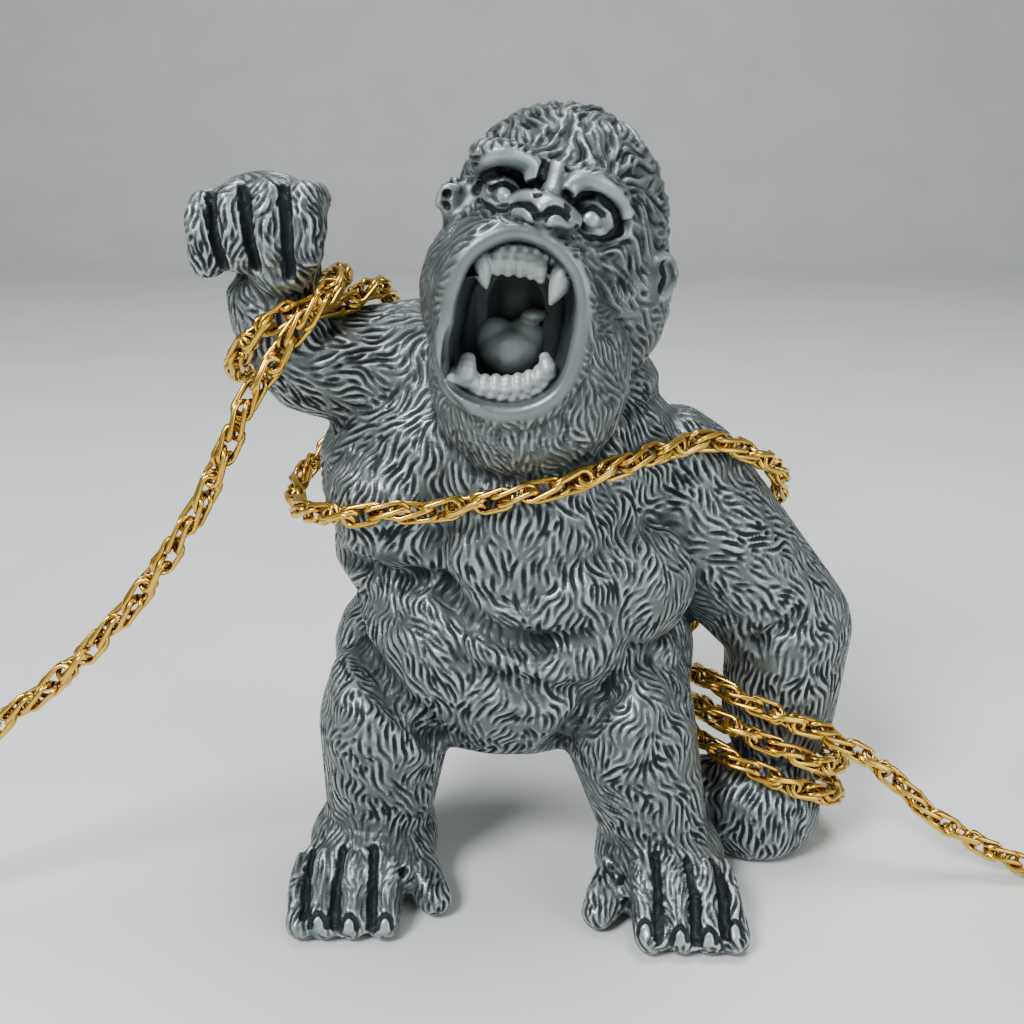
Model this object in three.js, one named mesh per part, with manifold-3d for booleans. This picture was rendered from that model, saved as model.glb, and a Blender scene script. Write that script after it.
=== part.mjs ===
// A roaring gorilla figurine cast in resin, with a gold rope chain wound round it.
// Millimetres, +Z up. The figure faces -Y, and its right hand is on the -X side.
import * as THREE from "three";
import { mergeVertices } from "three/addons/utils/BufferGeometryUtils.js";
import Module from "manifold-3d";

const wasm = await Module();
wasm.setup();

// Landmarks of the figure
const at = (x, y, z) => new THREE.Vector3(x, y, z);
const skull = at(8.5, -4, 128);
const mouth = at(0.5, -33, 115.5);
const chin = at(3, -18, 105);
const chest = at(-1.5, 2, 82);
const belly = at(0, -3, 50);
const rightShoulder = at(-16, 3, 101);
const rightElbow = at(-37.5, 0, 103);
const rightWrist = at(-43, -2, 114);
const rightKnuckles = at(-43.7, -5, 128.5);
const leftShoulder = at(30, 4, 79);
const leftElbow = at(57, 5, 48);
const leftWrist = at(56, 4, 28);
const leftKnuckles = at(51.5, 0, 9);
const rightHip = at(-20, 1, 44);
const rightKnee = at(-24.5, -12, 36);
const rightAnkle = at(-27, -10, 13);
const leftHip = at(21, 1, 44);
const leftKnee = at(22.3, -14, 36);
const leftAnkle = at(28.5, -14, 12);

// Masses
const skullRadii = [19.5, 21, 21];
const chestRadii = [36, 25, 26];
const bellyRadii = [31, 24, 24.5];
const fistRadii = [14, 13, 12.5];
const handHeelSeat = [-12.5, 1, -0.5];
const handHeelRadii = [12, 10.5, 9.5];
const upperArmRadius = 14;
const elbowRadius = 9.4;
const forearmRadius = 9;
const lowArmRadius = 15.5;
const lowElbowRadius = 12.7;
const lowWristRadius = 11.5;
const hipRadii = [16, 17, 17];
const thighRadius = 14;
const kneeRadius = 13;
const ankleRadius = 10.5;

// Mouth: half its width and height inside the lips, and how deep it goes
const mouthHalfWidth = 9.2;
const mouthHalfHeight = 12.8;
const mouthDepth = 17;
const lipThickness = 4.2;
const mouthLean = 3;
const teethPerRow = 8;
const gumRadius = 2;
const incisorLength = 2.6;
const upperCanineLength = 6;
const lowerCanineLength = 4.2;

// Fingers and toes
const fingerRadius = 3.3;
const fingerPitch = 5.6;
const fingerLength = 11;
const toeRadius = 3.1;
const toeReach = 22;
const toePlaces = [12.5, 8, 2.9, -3];
const footRadii = [13, 19, 9.5];
const heelRadii = [11, 14, 8];
const bigToeReach = [12, 15];

// Seams, dowels and pads
const seam = 0.3;
const dowelClearance = 0.3;
const dowelLength = 14;
const thickDowelRadius = 2.2;
const thinDowelRadius = 1.5;
const neckDowelLength = 18;
const neckSeat = [7.5, 1, 29];
const rightShoulderSeat = [-9.6, -1, 0.6];
const leftShoulderSeatShare = 0.26;
const rightWristSeat = [0, 0, 5.5];
const leftWristSeat = [2, 3, 12];
const padThickness = 1.2;
const padProud = 0.3;
const solePadRadii = [6.5, 9.5];
const fistPadRadii = [6.5, 6];
const groundSpread = 400;
const groundDepth = 40;

// Chain
const chainDiameter = 4.4;
const chainGap = 0.3;
const loopSteps = 24;
const loopSides = 6;
const runSides = 8;
const runStep = 2.4;

// Coils put away on the floor at both ends of the chain
const coilTurns = 2;
const coilPitch = 6;
const coilRadius = 29;
const coilHeight = 2.25;
const loweredTurns = 2.375;
const loweredStart = -10;
const leftCoil = at(-159, -1, coilHeight);
const rightCoil = at(148, 7, coilHeight);

// Lobster clasp at the left end, lying flat, and the plain ring at the right end that it hooks into
const claspThickness = 3.6;
const claspBottom = 0.1;
const claspEye = 3.2;
const claspWire = 1.7;
const claspReach = 13;
const blockHalfWidth = 2.4;
const tailHole = 1.3;
const tailWall = 1;
const tailThickness = 1.4;
const leverThickness = 1.4;
const leverHalfWidth = 0.7;
const leverHub = 1.5;
const leverClearance = 0.3;
const pinRadius = 0.55;
const pinClearance = 0.25;
const pivotPlace = [7, -0.4];
const leverShoulder = [9.2, -1.4];
const leverBendStart = -140;
const leverTipAngle = -84;
const hookNoseAngle = -60;
const hookHeelAngle = 165;
const blockBack = 3;
const blockLap = 0.5;
const slotBack = 4.4;
const slotFront = 8.9;
const throatHigh = 1;
const jumpRingRadius = 2.25;
const jumpRingWire = 0.5;
const endRingRadius = 2.6;
const endRingWire = 0.6;

const QUARTER = Math.PI / 2;
const TURN = 360;

// A merged, closed solid of a three.js geometry.
function solidOf(geometry) {
  const bare = geometry.index ? geometry.toNonIndexed() : geometry.clone();
  bare.deleteAttribute("normal");
  bare.deleteAttribute("uv");
  const merged = mergeVertices(bare, 1e-4);
  return new wasm.Manifold(
    new wasm.Mesh({
      numProp: 3,
      vertProperties: new Float32Array(merged.attributes.position.array),
      triVerts: new Uint32Array(merged.index.array),
    }),
  );
}

function geometryOf(solid) {
  const mesh = solid.getMesh();
  const geometry = new THREE.BufferGeometry();
  const places = new THREE.BufferAttribute(new Float32Array(mesh.vertProperties), 3);
  geometry.setAttribute("position", places);
  geometry.setIndex(new THREE.BufferAttribute(new Uint32Array(mesh.triVerts), 1));
  const flat = geometry.toNonIndexed();
  flat.computeVertexNormals();
  return flat;
}

// How many sides and rings a round shape of this radius has.
function fineness(radius) {
  if (radius > 12) return { sides: 14, rings: 9, caps: 3 };
  if (radius > 6) return { sides: 10, rings: 7, caps: 2 };
  return { sides: 8, rings: 5, caps: 2 };
}

function turned(geometry, turn) {
  const [x, y, z] = turn.map(THREE.MathUtils.degToRad);
  return geometry.applyMatrix4(new THREE.Matrix4().makeRotationFromEuler(new THREE.Euler(x, y, z)));
}

// Each shape is a function of how much it is grown, so that a neighbour can be cut clear of it.

// A rounded mass: an ellipsoid of the given radii, turned in degrees about X, Y and Z.
const lobe = (centre, radii, turn = [0, 0, 0]) => (grow) => {
  const { sides, rings } = fineness(Math.max(...radii));
  const geometry = new THREE.SphereGeometry(1, sides, rings);
  geometry.rotateX(QUARTER);
  geometry.scale(radii[0] + grow, radii[1] + grow, radii[2] + grow);
  turned(geometry, turn);
  geometry.translate(centre.x, centre.y, centre.z);
  return solidOf(geometry);
};

// A tapering limb with round ends, from one place to the next.
const limb = (from, to, fromRadius, toRadius) => (grow) => {
  const length = from.distanceTo(to);
  const { sides, caps } = fineness(Math.max(fromRadius, toRadius));
  const start = fromRadius + grow;
  const end = toRadius + grow;
  const profile = [];
  for (let i = 0; i <= caps; i += 1) {
    const angle = (i / caps) * QUARTER;
    profile.push(new THREE.Vector2(start * Math.sin(angle), -start * Math.cos(angle)));
  }
  for (let i = 0; i <= caps; i += 1) {
    const angle = (i / caps) * QUARTER;
    profile.push(new THREE.Vector2(end * Math.cos(angle), length + end * Math.sin(angle)));
  }
  const geometry = new THREE.LatheGeometry(profile, sides);
  const along = to.clone().sub(from).normalize();
  geometry.applyQuaternion(new THREE.Quaternion().setFromUnitVectors(at(0, 1, 0), along));
  geometry.translate(from.x, from.y, from.z);
  return solidOf(geometry);
};

// A straight pin of the given radius, centred on a place.
const pin = (centre, along, radius, length) => (grow) => {
  const geometry = new THREE.CylinderGeometry(radius + grow, radius + grow, length + 2 * grow, 10);
  const direction = along.clone().normalize();
  geometry.applyQuaternion(new THREE.Quaternion().setFromUnitVectors(at(0, 1, 0), direction));
  geometry.translate(centre.x, centre.y, centre.z);
  return solidOf(geometry);
};

// An oval disc that lies flat, from one height up to another.
const disc = (centre, radii, bottom, top) => (grow) => {
  const geometry = new THREE.CylinderGeometry(1, 1, top - bottom + grow, 20);
  geometry.rotateX(QUARTER);
  geometry.scale(radii[0] + grow, radii[1] + grow, 1);
  geometry.translate(centre.x, centre.y, (bottom + top + grow) / 2);
  return solidOf(geometry);
};

// A round tube along a curve through the given places.
const tube = (places, radius, steps, sides) => (grow) => {
  const ring = new THREE.Shape();
  for (let i = 0; i < sides; i += 1) {
    const angle = (i / sides) * 2 * Math.PI;
    const x = (radius + grow) * Math.cos(angle);
    const y = (radius + grow) * Math.sin(angle);
    if (i === 0) ring.moveTo(x, y);
    else ring.lineTo(x, y);
  }
  ring.closePath();
  const path = new THREE.CatmullRomCurve3(places, false, "centripetal");
  const options = { steps, bevelEnabled: false, extrudePath: path };
  return solidOf(new THREE.ExtrudeGeometry(ring, options));
};

// The rolled lip: a ring round the mouth, as tall as the mouth.
const lips = (grow) => {
  const roll = lipThickness / 2 + grow;
  const across = mouthHalfWidth + 0.4 * lipThickness;
  const geometry = new THREE.TorusGeometry(across, roll, 8, 18);
  geometry.rotateX(QUARTER);
  const stretch = (mouthHalfHeight + 0.4 * lipThickness) / across;
  geometry.scale(1, 1, stretch);
  turned(geometry, [0, mouthLean, 0]);
  geometry.translate(mouth.x, mouth.y, mouth.z);
  return solidOf(geometry);
};

// A winding of the chain: places of its centre line, with a straight end of one diameter at each side.
// place gives the centre line's place for an angle in degrees.
function woundPlaces(place, from, to) {
  const count = Math.round((Math.abs(to - from) / TURN) * loopSteps);
  const places = [];
  for (let i = 0; i <= count; i += 1) places.push(place(from + ((to - from) * i) / count));
  const first = places[0].clone().sub(places[1]).setLength(chainDiameter).add(places[0]);
  const last = places[count].clone().sub(places[count - 1]).setLength(chainDiameter).add(places[count]);
  return [first, ...places, last];
}

// The same for a winding whose places are set by hand.
function handPlaces(route, turns) {
  const curve = new THREE.CatmullRomCurve3(route, false, "centripetal");
  const count = Math.round(turns * loopSteps);
  const places = curve.getSpacedPoints(count);
  const first = places[0].clone().sub(places[1]).setLength(chainDiameter).add(places[0]);
  const last = places[count].clone().sub(places[count - 1]).setLength(chainDiameter).add(places[count]);
  return [first, ...places, last];
}

// The place just past an end of a winding, where the next stretch starts, and one further along.
function mouthOf(places, atStart) {
  const [end, before] = atStart ? [places[0], places[1]] : [places.at(-1), places.at(-2)];
  const along = end.clone().sub(before).normalize();
  const start = end.clone().addScaledVector(along, chainGap);
  return [start, start.clone().addScaledVector(along, chainDiameter / 2)];
}

// One unbroken tube along the places, closed at both ends.
function woundTube(places) {
  const corners = [];
  const faces = [];
  let side = at(0, 0, 1);
  places.forEach((place, i) => {
    const ahead = places[Math.min(i + 1, places.length - 1)];
    const behind = places[Math.max(i - 1, 0)];
    const along = ahead.clone().sub(behind).normalize();
    side = side.clone().addScaledVector(along, -side.dot(along)).normalize();
    const up = new THREE.Vector3().crossVectors(along, side);
    for (let k = 0; k < loopSides; k += 1) {
      const angle = (k / loopSides) * 2 * Math.PI;
      const corner = place.clone();
      corner.addScaledVector(side, (chainDiameter / 2) * Math.cos(angle));
      corner.addScaledVector(up, (chainDiameter / 2) * Math.sin(angle));
      corners.push(...corner.toArray());
    }
  });
  const rings = places.length;
  for (let i = 0; i < rings - 1; i += 1) {
    for (let k = 0; k < loopSides; k += 1) {
      const a = i * loopSides + k;
      const b = i * loopSides + ((k + 1) % loopSides);
      faces.push(a, b, a + loopSides, b, b + loopSides, a + loopSides);
    }
  }
  const last = (rings - 1) * loopSides;
  for (let k = 1; k < loopSides - 1; k += 1) {
    faces.push(0, k + 1, k);
    faces.push(last, last + k, last + k + 1);
  }
  const geometry = new THREE.BufferGeometry();
  geometry.setAttribute("position", new THREE.Float32BufferAttribute(corners, 3));
  geometry.setIndex(faces);
  return geometryOf(solidOf(geometry));
}

// The least gap that a tube through these places leaves to itself, measured on points along it.
function leastGap(places) {
  const fine = new THREE.CatmullRomCurve3(places, false, "centripetal").getSpacedPoints(places.length * 4);
  const spacing = fine[0].distanceTo(fine[1]);
  const apart = Math.ceil((3 * chainDiameter) / spacing);
  let least = Infinity;
  for (let i = 0; i < fine.length; i += 1) {
    for (let j = i + apart; j < fine.length; j += 1) {
      least = Math.min(least, fine[i].distanceTo(fine[j]));
    }
  }
  return least - chainDiameter;
}

const joined = (shapes, grow) =>
  shapes.map((shape) => shape(grow)).reduce((whole, part) => whole.add(part));

const near = (landmark, x, y, z) => landmark.clone().add(at(x, y, z));

function torsoShapes() {
  return [
    lobe(chest, chestRadii),
    lobe(near(chest, 3, 3, 16), [27, 19, 14]),
    lobe(near(chest, -19, -12, -2), [14, 12, 10.5]),
    lobe(near(chest, 5, -14, -4), [17, 15, 18]),
    lobe(near(chest, -2, 0, -15), [32, 21, 18]),
    lobe(near(belly, 12, -3, 14), [24, 19, 17]),
    lobe(belly, bellyRadii),
    lobe(near(belly, 0, 12, -4), [27, 18, 16]),
  ];
}

function headShapes() {
  return [
    lobe(skull, skullRadii),
    lobe(near(skull, -10.5, -9, -11), [14, 14, 16]),
    lobe(near(skull, 5.5, -1, -11), [14.5, 16, 17]),
    lobe(chin, [17.5, 14, 19.5]),
    lobe(near(mouth, 0, 14, 0), [14, 15.5, 18.5]),
    lobe(near(skull, 0, 10, -24), [17, 15, 14]),
    lobe(near(skull, -9.3, -19, 11.5), [6.5, 5, 3], [0, 14, 0]),
    lobe(near(skull, 3.3, -18, 8), [6.5, 5, 3], [0, 14, 0]),
    lobe(near(mouth, 4, 0, 16), [4, 4, 3]),
    lobe(near(skull, -18.6, -8, 5), [2.4, 3, 4]),
    lobe(near(skull, 18.3, -1, -9), [2, 3, 5]),
  ];
}

// The hollow of the open mouth
const hollow = lobe(mouth, [mouthHalfWidth, mouthDepth, mouthHalfHeight], [0, mouthLean, 0]);

function tongueShapes() {
  return [
    lobe(near(mouth, -1, 10, -6.5), [5.2, 8, 4.5], [-12, 0, 0]),
    lobe(near(mouth, -1, 14, -9), [5, 8, 5]),
  ];
}

// A tapering tooth from its root to its tip.
const tooth = (root, tip, radius) => (grow) => {
  const length = root.distanceTo(tip);
  const geometry = new THREE.CylinderGeometry(radius * 0.4 + grow, radius + grow, length + 2 * grow, 6);
  geometry.translate(0, length / 2, 0);
  const along = tip.clone().sub(root).normalize();
  geometry.applyQuaternion(new THREE.Quaternion().setFromUnitVectors(at(0, 1, 0), along));
  geometry.translate(root.x, root.y, root.z);
  return solidOf(geometry);
};

// A bent gum with its teeth, a canine at each end; side is 1 for the upper row and -1 for the lower.
function toothRow(side, canineLength) {
  const roots = [];
  const teeth = [];
  for (let i = 0; i < teethPerRow; i += 1) {
    const share = (i / (teethPerRow - 1)) * 2 - 1;
    const canine = i === 0 || i === teethPerRow - 1;
    const sag = share * share;
    const height = mouthHalfHeight - 1.8 - 4.2 * sag;
    const root = near(mouth, share * mouthHalfWidth * 0.64, 5 + 3 * sag, side * height);
    const length = canine ? canineLength : incisorLength;
    const tip = root.clone().add(at(0, -0.8, -side * length));
    roots.push(root);
    teeth.push(tooth(root, tip, canine ? 1.7 : 1.1));
  }
  return [tube(roots, gumRadius, teethPerRow - 1, 8), ...teeth];
}

function rightFistShapes() {
  const shapes = [
    lobe(near(rightKnuckles, 0.5, 1, 0), [11, 9.5, 9]),
    lobe(near(rightKnuckles, 4, -2, -7.5), [6.5, 7, 5]),
  ];
  const rises = [-1.2, 0.6, 0.9, 0.4];
  rises.forEach((rise, i) => {
    const x = (i - 1.5) * fingerPitch;
    const drop = i === 0 ? 1 : 0;
    const top = near(rightKnuckles, x, -5, fingerLength / 2 - 1.5 + rise);
    const tip = near(rightKnuckles, x, -6.5, -fingerLength / 2 + 1 - drop);
    const back = near(rightKnuckles, x, 5, fingerLength / 2 - 2 + rise);
    shapes.push(limb(top, tip, fingerRadius, fingerRadius));
    shapes.push(limb(top, back, fingerRadius, fingerRadius));
  });
  return shapes;
}

function legShapes(hip, knee, ankle) {
  return [
    lobe(hip, hipRadii),
    limb(hip, knee, thighRadius, kneeRadius),
    limb(knee, ankle, kneeRadius, ankleRadius),
  ];
}

// A foot with four toes and a splayed big toe; side is -1 for the right foot and 1 for the left.
function footShapes(ankle, side) {
  const shapes = [
    lobe(near(ankle, side * 1, -1, -5.5), footRadii),
    lobe(near(ankle, 0, 3, -6), heelRadii),
  ];
  for (const toe of toePlaces) {
    const root = near(ankle, side * toe * 0.8, -9, -4.5);
    const tip = near(ankle, side * toe, -toeReach, 3.2 - ankle.z);
    shapes.push(limb(root, tip, 4, toeRadius));
  }
  const bigRoot = near(ankle, -side * 6, -5, -5.5);
  const bigTip = near(ankle, -side * bigToeReach[0], -bigToeReach[1], 3.5 - ankle.z);
  shapes.push(limb(bigRoot, bigTip, 4.6, 3.5));
  return shapes;
}

// Steel dowels in the glued seams, and the two castings that each one joins
const steepUp = at(0, -0.05, 1);
const leftShoulderSeat = lowArmRadius * leftShoulderSeatShare;
const dowels = [
  {
    name: "neck_dowel",
    joins: ["torso", "head"],
    shape: pin(near(chest, ...neckSeat), at(0.1, -0.25, 1), thickDowelRadius, neckDowelLength),
  },
  {
    name: "right_shoulder_dowel",
    joins: ["torso", "right_arm"],
    shape: pin(near(rightShoulder, ...rightShoulderSeat), at(-1, -0.1, 0.05), thickDowelRadius, dowelLength),
  },
  {
    name: "left_shoulder_dowel",
    joins: ["torso", "left_arm"],
    shape: pin(
      near(leftShoulder, leftShoulderSeat, 0, -leftShoulderSeat),
      at(0.65, 0, -0.75),
      thickDowelRadius,
      dowelLength,
    ),
  },
  {
    name: "right_wrist_dowel",
    joins: ["right_fist", "right_arm"],
    shape: pin(near(rightWrist, ...rightWristSeat), steepUp, thinDowelRadius, dowelLength),
  },
  {
    name: "left_wrist_dowel",
    joins: ["left_fist", "left_arm"],
    shape: pin(near(leftKnuckles, ...leftWristSeat), at(0.15, 0.25, 1), thinDowelRadius, dowelLength),
  },
  {
    name: "right_hip_dowel",
    joins: ["torso", "right_leg"],
    shape: pin(near(rightHip, -4.2, -6.5, -8.5), at(-0.55, -0.3, -0.78), thinDowelRadius, dowelLength),
  },
  {
    name: "left_hip_dowel",
    joins: ["torso", "left_leg"],
    shape: pin(near(leftHip, 3.2, -6.5, -8.5), at(0.45, -0.3, -0.8), thinDowelRadius, dowelLength),
  },
  {
    name: "right_ankle_dowel",
    joins: ["right_foot", "right_leg"],
    shape: pin(near(rightAnkle, 0, 1, 4), steepUp, thinDowelRadius, dowelLength),
  },
  {
    name: "left_ankle_dowel",
    joins: ["left_foot", "left_leg"],
    shape: pin(near(leftAnkle, 0, 1, 4), steepUp, thinDowelRadius, dowelLength),
  },
];

// Pads under the soles and the lowered fist
const pads = [
  { name: "right_sole_pad", under: "right_foot", centre: near(rightAnkle, -1, -2, 0), radii: solePadRadii },
  { name: "left_sole_pad", under: "left_foot", centre: near(leftAnkle, 1, -2, 0), radii: solePadRadii },
  { name: "fist_pad", under: "left_fist", centre: leftKnuckles, radii: fistPadRadii },
].map((pad) => ({ ...pad, shape: disc(pad.centre, pad.radii, 0, padThickness) }));

const dark = 0x5b646c;
const bright = 0x7a848c;
// In the order in which they are cut: each casting is cut clear of those before it.
const castings = [
  { name: "upper_teeth", colour: 0xa9b2b8, shapes: toothRow(1, upperCanineLength) },
  { name: "lower_teeth", colour: 0xa9b2b8, shapes: toothRow(-1, lowerCanineLength) },
  { name: "tongue", colour: 0x8a949b, shapes: tongueShapes() },
  { name: "torso", colour: dark, shapes: torsoShapes() },
  { name: "head", colour: bright, shapes: headShapes(), hollow, rim: lips },
  { name: "right_foot", colour: bright, shapes: footShapes(rightAnkle, -1) },
  { name: "left_foot", colour: bright, shapes: footShapes(leftAnkle, 1) },
  { name: "right_fist", colour: bright, shapes: rightFistShapes() },
  {
    name: "left_fist",
    colour: bright,
    shapes: [
      lobe(leftKnuckles, fistRadii),
      lobe(near(leftKnuckles, ...handHeelSeat), handHeelRadii),
    ],
  },
  { name: "right_leg", colour: dark, shapes: legShapes(rightHip, rightKnee, rightAnkle) },
  { name: "left_leg", colour: dark, shapes: legShapes(leftHip, leftKnee, leftAnkle) },
  {
    name: "right_arm",
    colour: dark,
    shapes: [
      limb(rightShoulder, rightElbow, upperArmRadius, elbowRadius),
      limb(rightElbow, rightWrist, elbowRadius, forearmRadius),
    ],
  },
  {
    name: "left_arm",
    colour: dark,
    shapes: [
      limb(leftShoulder, leftElbow, lowArmRadius, lowElbowRadius),
      limb(leftElbow, leftWrist, lowElbowRadius, lowWristRadius),
    ],
  },
];

function mesh(name, geometry, colour, roughness, metalness) {
  const material = new THREE.MeshStandardMaterial({ color: colour, roughness, metalness });
  const piece = new THREE.Mesh(geometry, material);
  piece.name = name;
  return piece;
}

// The winding on the raised wrist, in places by hand: its first half lies on top of its second half in front
const raisedRoute = [
  at(-44.2, -19.5, 101.8),
  at(-42, -18.8, 104.4),
  at(-39.2, -17.8, 108.2),
  at(-35.9, -17, 112.5),
  at(-32.6, -16, 116.4),
  at(-30.7, -11.5, 118.6),
  at(-30.3, -5.5, 119.7),
  at(-31.9, 1.5, 119.1),
  at(-35.6, 7.5, 116.4),
  at(-41.1, 11, 111),
  at(-46.4, 10.5, 104.4),
  at(-49.9, 6.5, 100.5),
  at(-50.9, 0.2, 101.2),
  at(-49.1, -9, 105.3),
  at(-44.5, -13.9, 110.2),
  at(-40.2, -13.2, 113.4),
  at(-36.4, -11.5, 114.7),
  at(-32.9, -8.2, 114.8),
  at(-29.5, -4, 114.8),
  at(-26.9, 0, 116.3),
  at(-24.9, 5.4, 116.4),
  at(-24, 11, 114),
];
const raisedTurns = 1.75;

// Turns round the lowered wrist, slanting down to the figure's left
const loweredCentre = at(53.2, 2.5, 15.7);
const loweredAcross = at(0.883, 0, -0.469);
const loweredFront = at(0, -0.966, 0.259);
const loweredClimb = at(0.3, 0.2, 6.8);
const loweredHalfAcross = 17.5;
const loweredHalfDeep = 14.8;
function loweredPlace(degrees) {
  const angle = THREE.MathUtils.degToRad(degrees);
  return loweredCentre
    .clone()
    .addScaledVector(loweredAcross, -loweredHalfAcross * Math.cos(angle))
    .addScaledVector(loweredFront, loweredHalfDeep * Math.sin(angle))
    .addScaledVector(loweredClimb, degrees / TURN);
}

// A coil that lies flat and spirals inwards.
// way is 1 for anticlockwise seen from above and -1 for clockwise.
const coilPlace = (centre, way) => (degrees) => {
  const radius = coilRadius - (coilPitch * degrees) / TURN;
  const angle = THREE.MathUtils.degToRad(-90 + way * degrees);
  return centre.clone().add(at(radius * Math.cos(angle), radius * Math.sin(angle), 0));
};

const raisedWinding = handPlaces(raisedRoute, raisedTurns);
const loweredWinding = woundPlaces(loweredPlace, loweredStart, loweredStart + TURN * loweredTurns);
const leftCoilPlaces = woundPlaces(coilPlace(leftCoil, -1), 0, TURN * coilTurns);
const rightCoilPlaces = woundPlaces(coilPlace(rightCoil, 1), 0, TURN * coilTurns);

// The free stretches: places chosen along the route, between the windings' ends
const leftRun = [
  ...mouthOf(leftCoilPlaces, true),
  at(-138, -30, 2.8),
  at(-125, -29, 11),
  at(-110, -27, 26),
  at(-93.6, -25, 41.1),
  at(-83.9, -24, 48.5),
  at(-74.1, -23, 57.2),
  at(-64.4, -22, 68),
  at(-56.7, -21.5, 78.5),
  at(-50, -21, 90),
  ...mouthOf(raisedWinding, true).reverse(),
];
const bodyRun = [
  ...mouthOf(raisedWinding, false),
  at(-24, 19.5, 108),
  at(-25, 22.5, 101),
  at(-28, 23.5, 93),
  at(-34, 20.5, 86),
  at(-40.5, 12, 80.5),
  at(-42, 2, 78.4),
  at(-40, -8, 77.6),
  at(-36.5, -15.5, 79),
  at(-33.2, -19.5, 80),
  at(-29.6, -23, 80.7),
  at(-21, -25, 81.9),
  at(-12.4, -24.8, 82.4),
  at(-5.4, -26.4, 84.1),
  at(1.3, -28, 86),
  at(8, -28.2, 87.8),
  at(15, -25, 89),
  at(22.4, -19.2, 90),
  at(30.4, -12.3, 90.4),
  at(36.5, -8.6, 90.3),
  at(42.5, -5.5, 88),
  at(48.8, -0.5, 84.2),
  at(51.7, 3.2, 81.3),
  at(53.6, 7.5, 78.3),
  at(54.7, 11.5, 75),
  at(54.6, 15.5, 71),
  at(52.2, 21, 63),
  at(46, 21.5, 55),
  at(41.5, 20.5, 47),
  at(38.5, 20.5, 38),
  at(37.8, 19.5, 29),
  at(38, 15.5, 23),
  ...mouthOf(loweredWinding, true).reverse(),
];
const rightRun = [
  ...mouthOf(loweredWinding, false),
  at(74.3, -9, 22.5),
  at(80.2, -10.5, 17.3),
  at(86.5, -12, 12.2),
  at(94.8, -13, 7.2),
  at(103.9, -14.5, 3.3),
  at(115, -16.5, 2.3),
  at(128, -18, 2.25),
  ...mouthOf(rightCoilPlaces, true).reverse(),
];

function runTube(places) {
  const length = new THREE.CatmullRomCurve3(places, false, "centripetal").getLength();
  const steps = Math.round(length / (runStep * chainDiameter));
  return geometryOf(tube(places, chainDiameter / 2, steps, runSides)(0));
}

const gold = 0xc79a3a;
const chainPieces = [
  ["chain_left_coil", woundTube(leftCoilPlaces)],
  ["chain_left_run", runTube(leftRun)],
  ["chain_raised_winding", woundTube(raisedWinding)],
  ["chain_body_run", runTube(bodyRun)],
  ["chain_lowered_winding", woundTube(loweredWinding)],
  ["chain_right_run", runTube(rightRun)],
  ["chain_right_coil", woundTube(rightCoilPlaces)],
];
const wound = { raised: raisedWinding, lowered: loweredWinding, coil: leftCoilPlaces };
for (const [name, places] of Object.entries(wound)) {
  console.log(`least gap in the ${name} turns: ${leastGap(places).toFixed(2)} mm`);
}

// A flat plate between two heights, from an outline in the plane.
function plate(outline, bottom, top, holes = []) {
  const shape = new THREE.Shape(outline);
  holes.forEach((hole) => shape.holes.push(new THREE.Path(hole)));
  const geometry = new THREE.ExtrudeGeometry(shape, { depth: top - bottom, bevelEnabled: false, steps: 1 });
  return solidOf(geometry.translate(0, 0, bottom));
}

const point = (x, y) => new THREE.Vector2(x, y);
function arcPoints(x, y, radius, from, to, count) {
  const points = [];
  for (let i = 0; i <= count; i += 1) {
    const angle = THREE.MathUtils.degToRad(from + ((to - from) * i) / count);
    points.push(point(x + radius * Math.cos(angle), y + radius * Math.sin(angle)));
  }
  return points;
}
const circle = (x, y, radius, count) => arcPoints(x, y, radius, 0, TURN - TURN / count, count - 1);
const box = (left, right, low, high) => [
  point(left, low),
  point(right, low),
  point(right, high),
  point(left, high),
];

// The clasp lies along its own X from the tail's hole at 0 to the hook; the lever closes the hook's -Y side.
const claspTop = claspBottom + claspThickness;
const claspMiddle = claspBottom + claspThickness / 2;
const jumpRingHeight = claspBottom + jumpRingRadius + jumpRingWire;
const pivot = point(...pivotPlace);
const leverPath = [pivot, point(...leverShoulder)];
const leverBend = claspEye + claspWire / 2;
leverPath.push(...arcPoints(claspReach, 0, leverBend, leverBendStart, leverTipAngle, 4));

function band(path, halfWidth) {
  const left = [];
  const right = [];
  path.forEach((here, i) => {
    const ahead = path[Math.min(i + 1, path.length - 1)];
    const behind = path[Math.max(i - 1, 0)];
    const along = ahead.clone().sub(behind).normalize();
    left.push(point(here.x - along.y * halfWidth, here.y + along.x * halfWidth));
    right.unshift(point(here.x + along.y * halfWidth, here.y - along.x * halfWidth));
  });
  return [...left, ...right].reverse();
}

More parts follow.
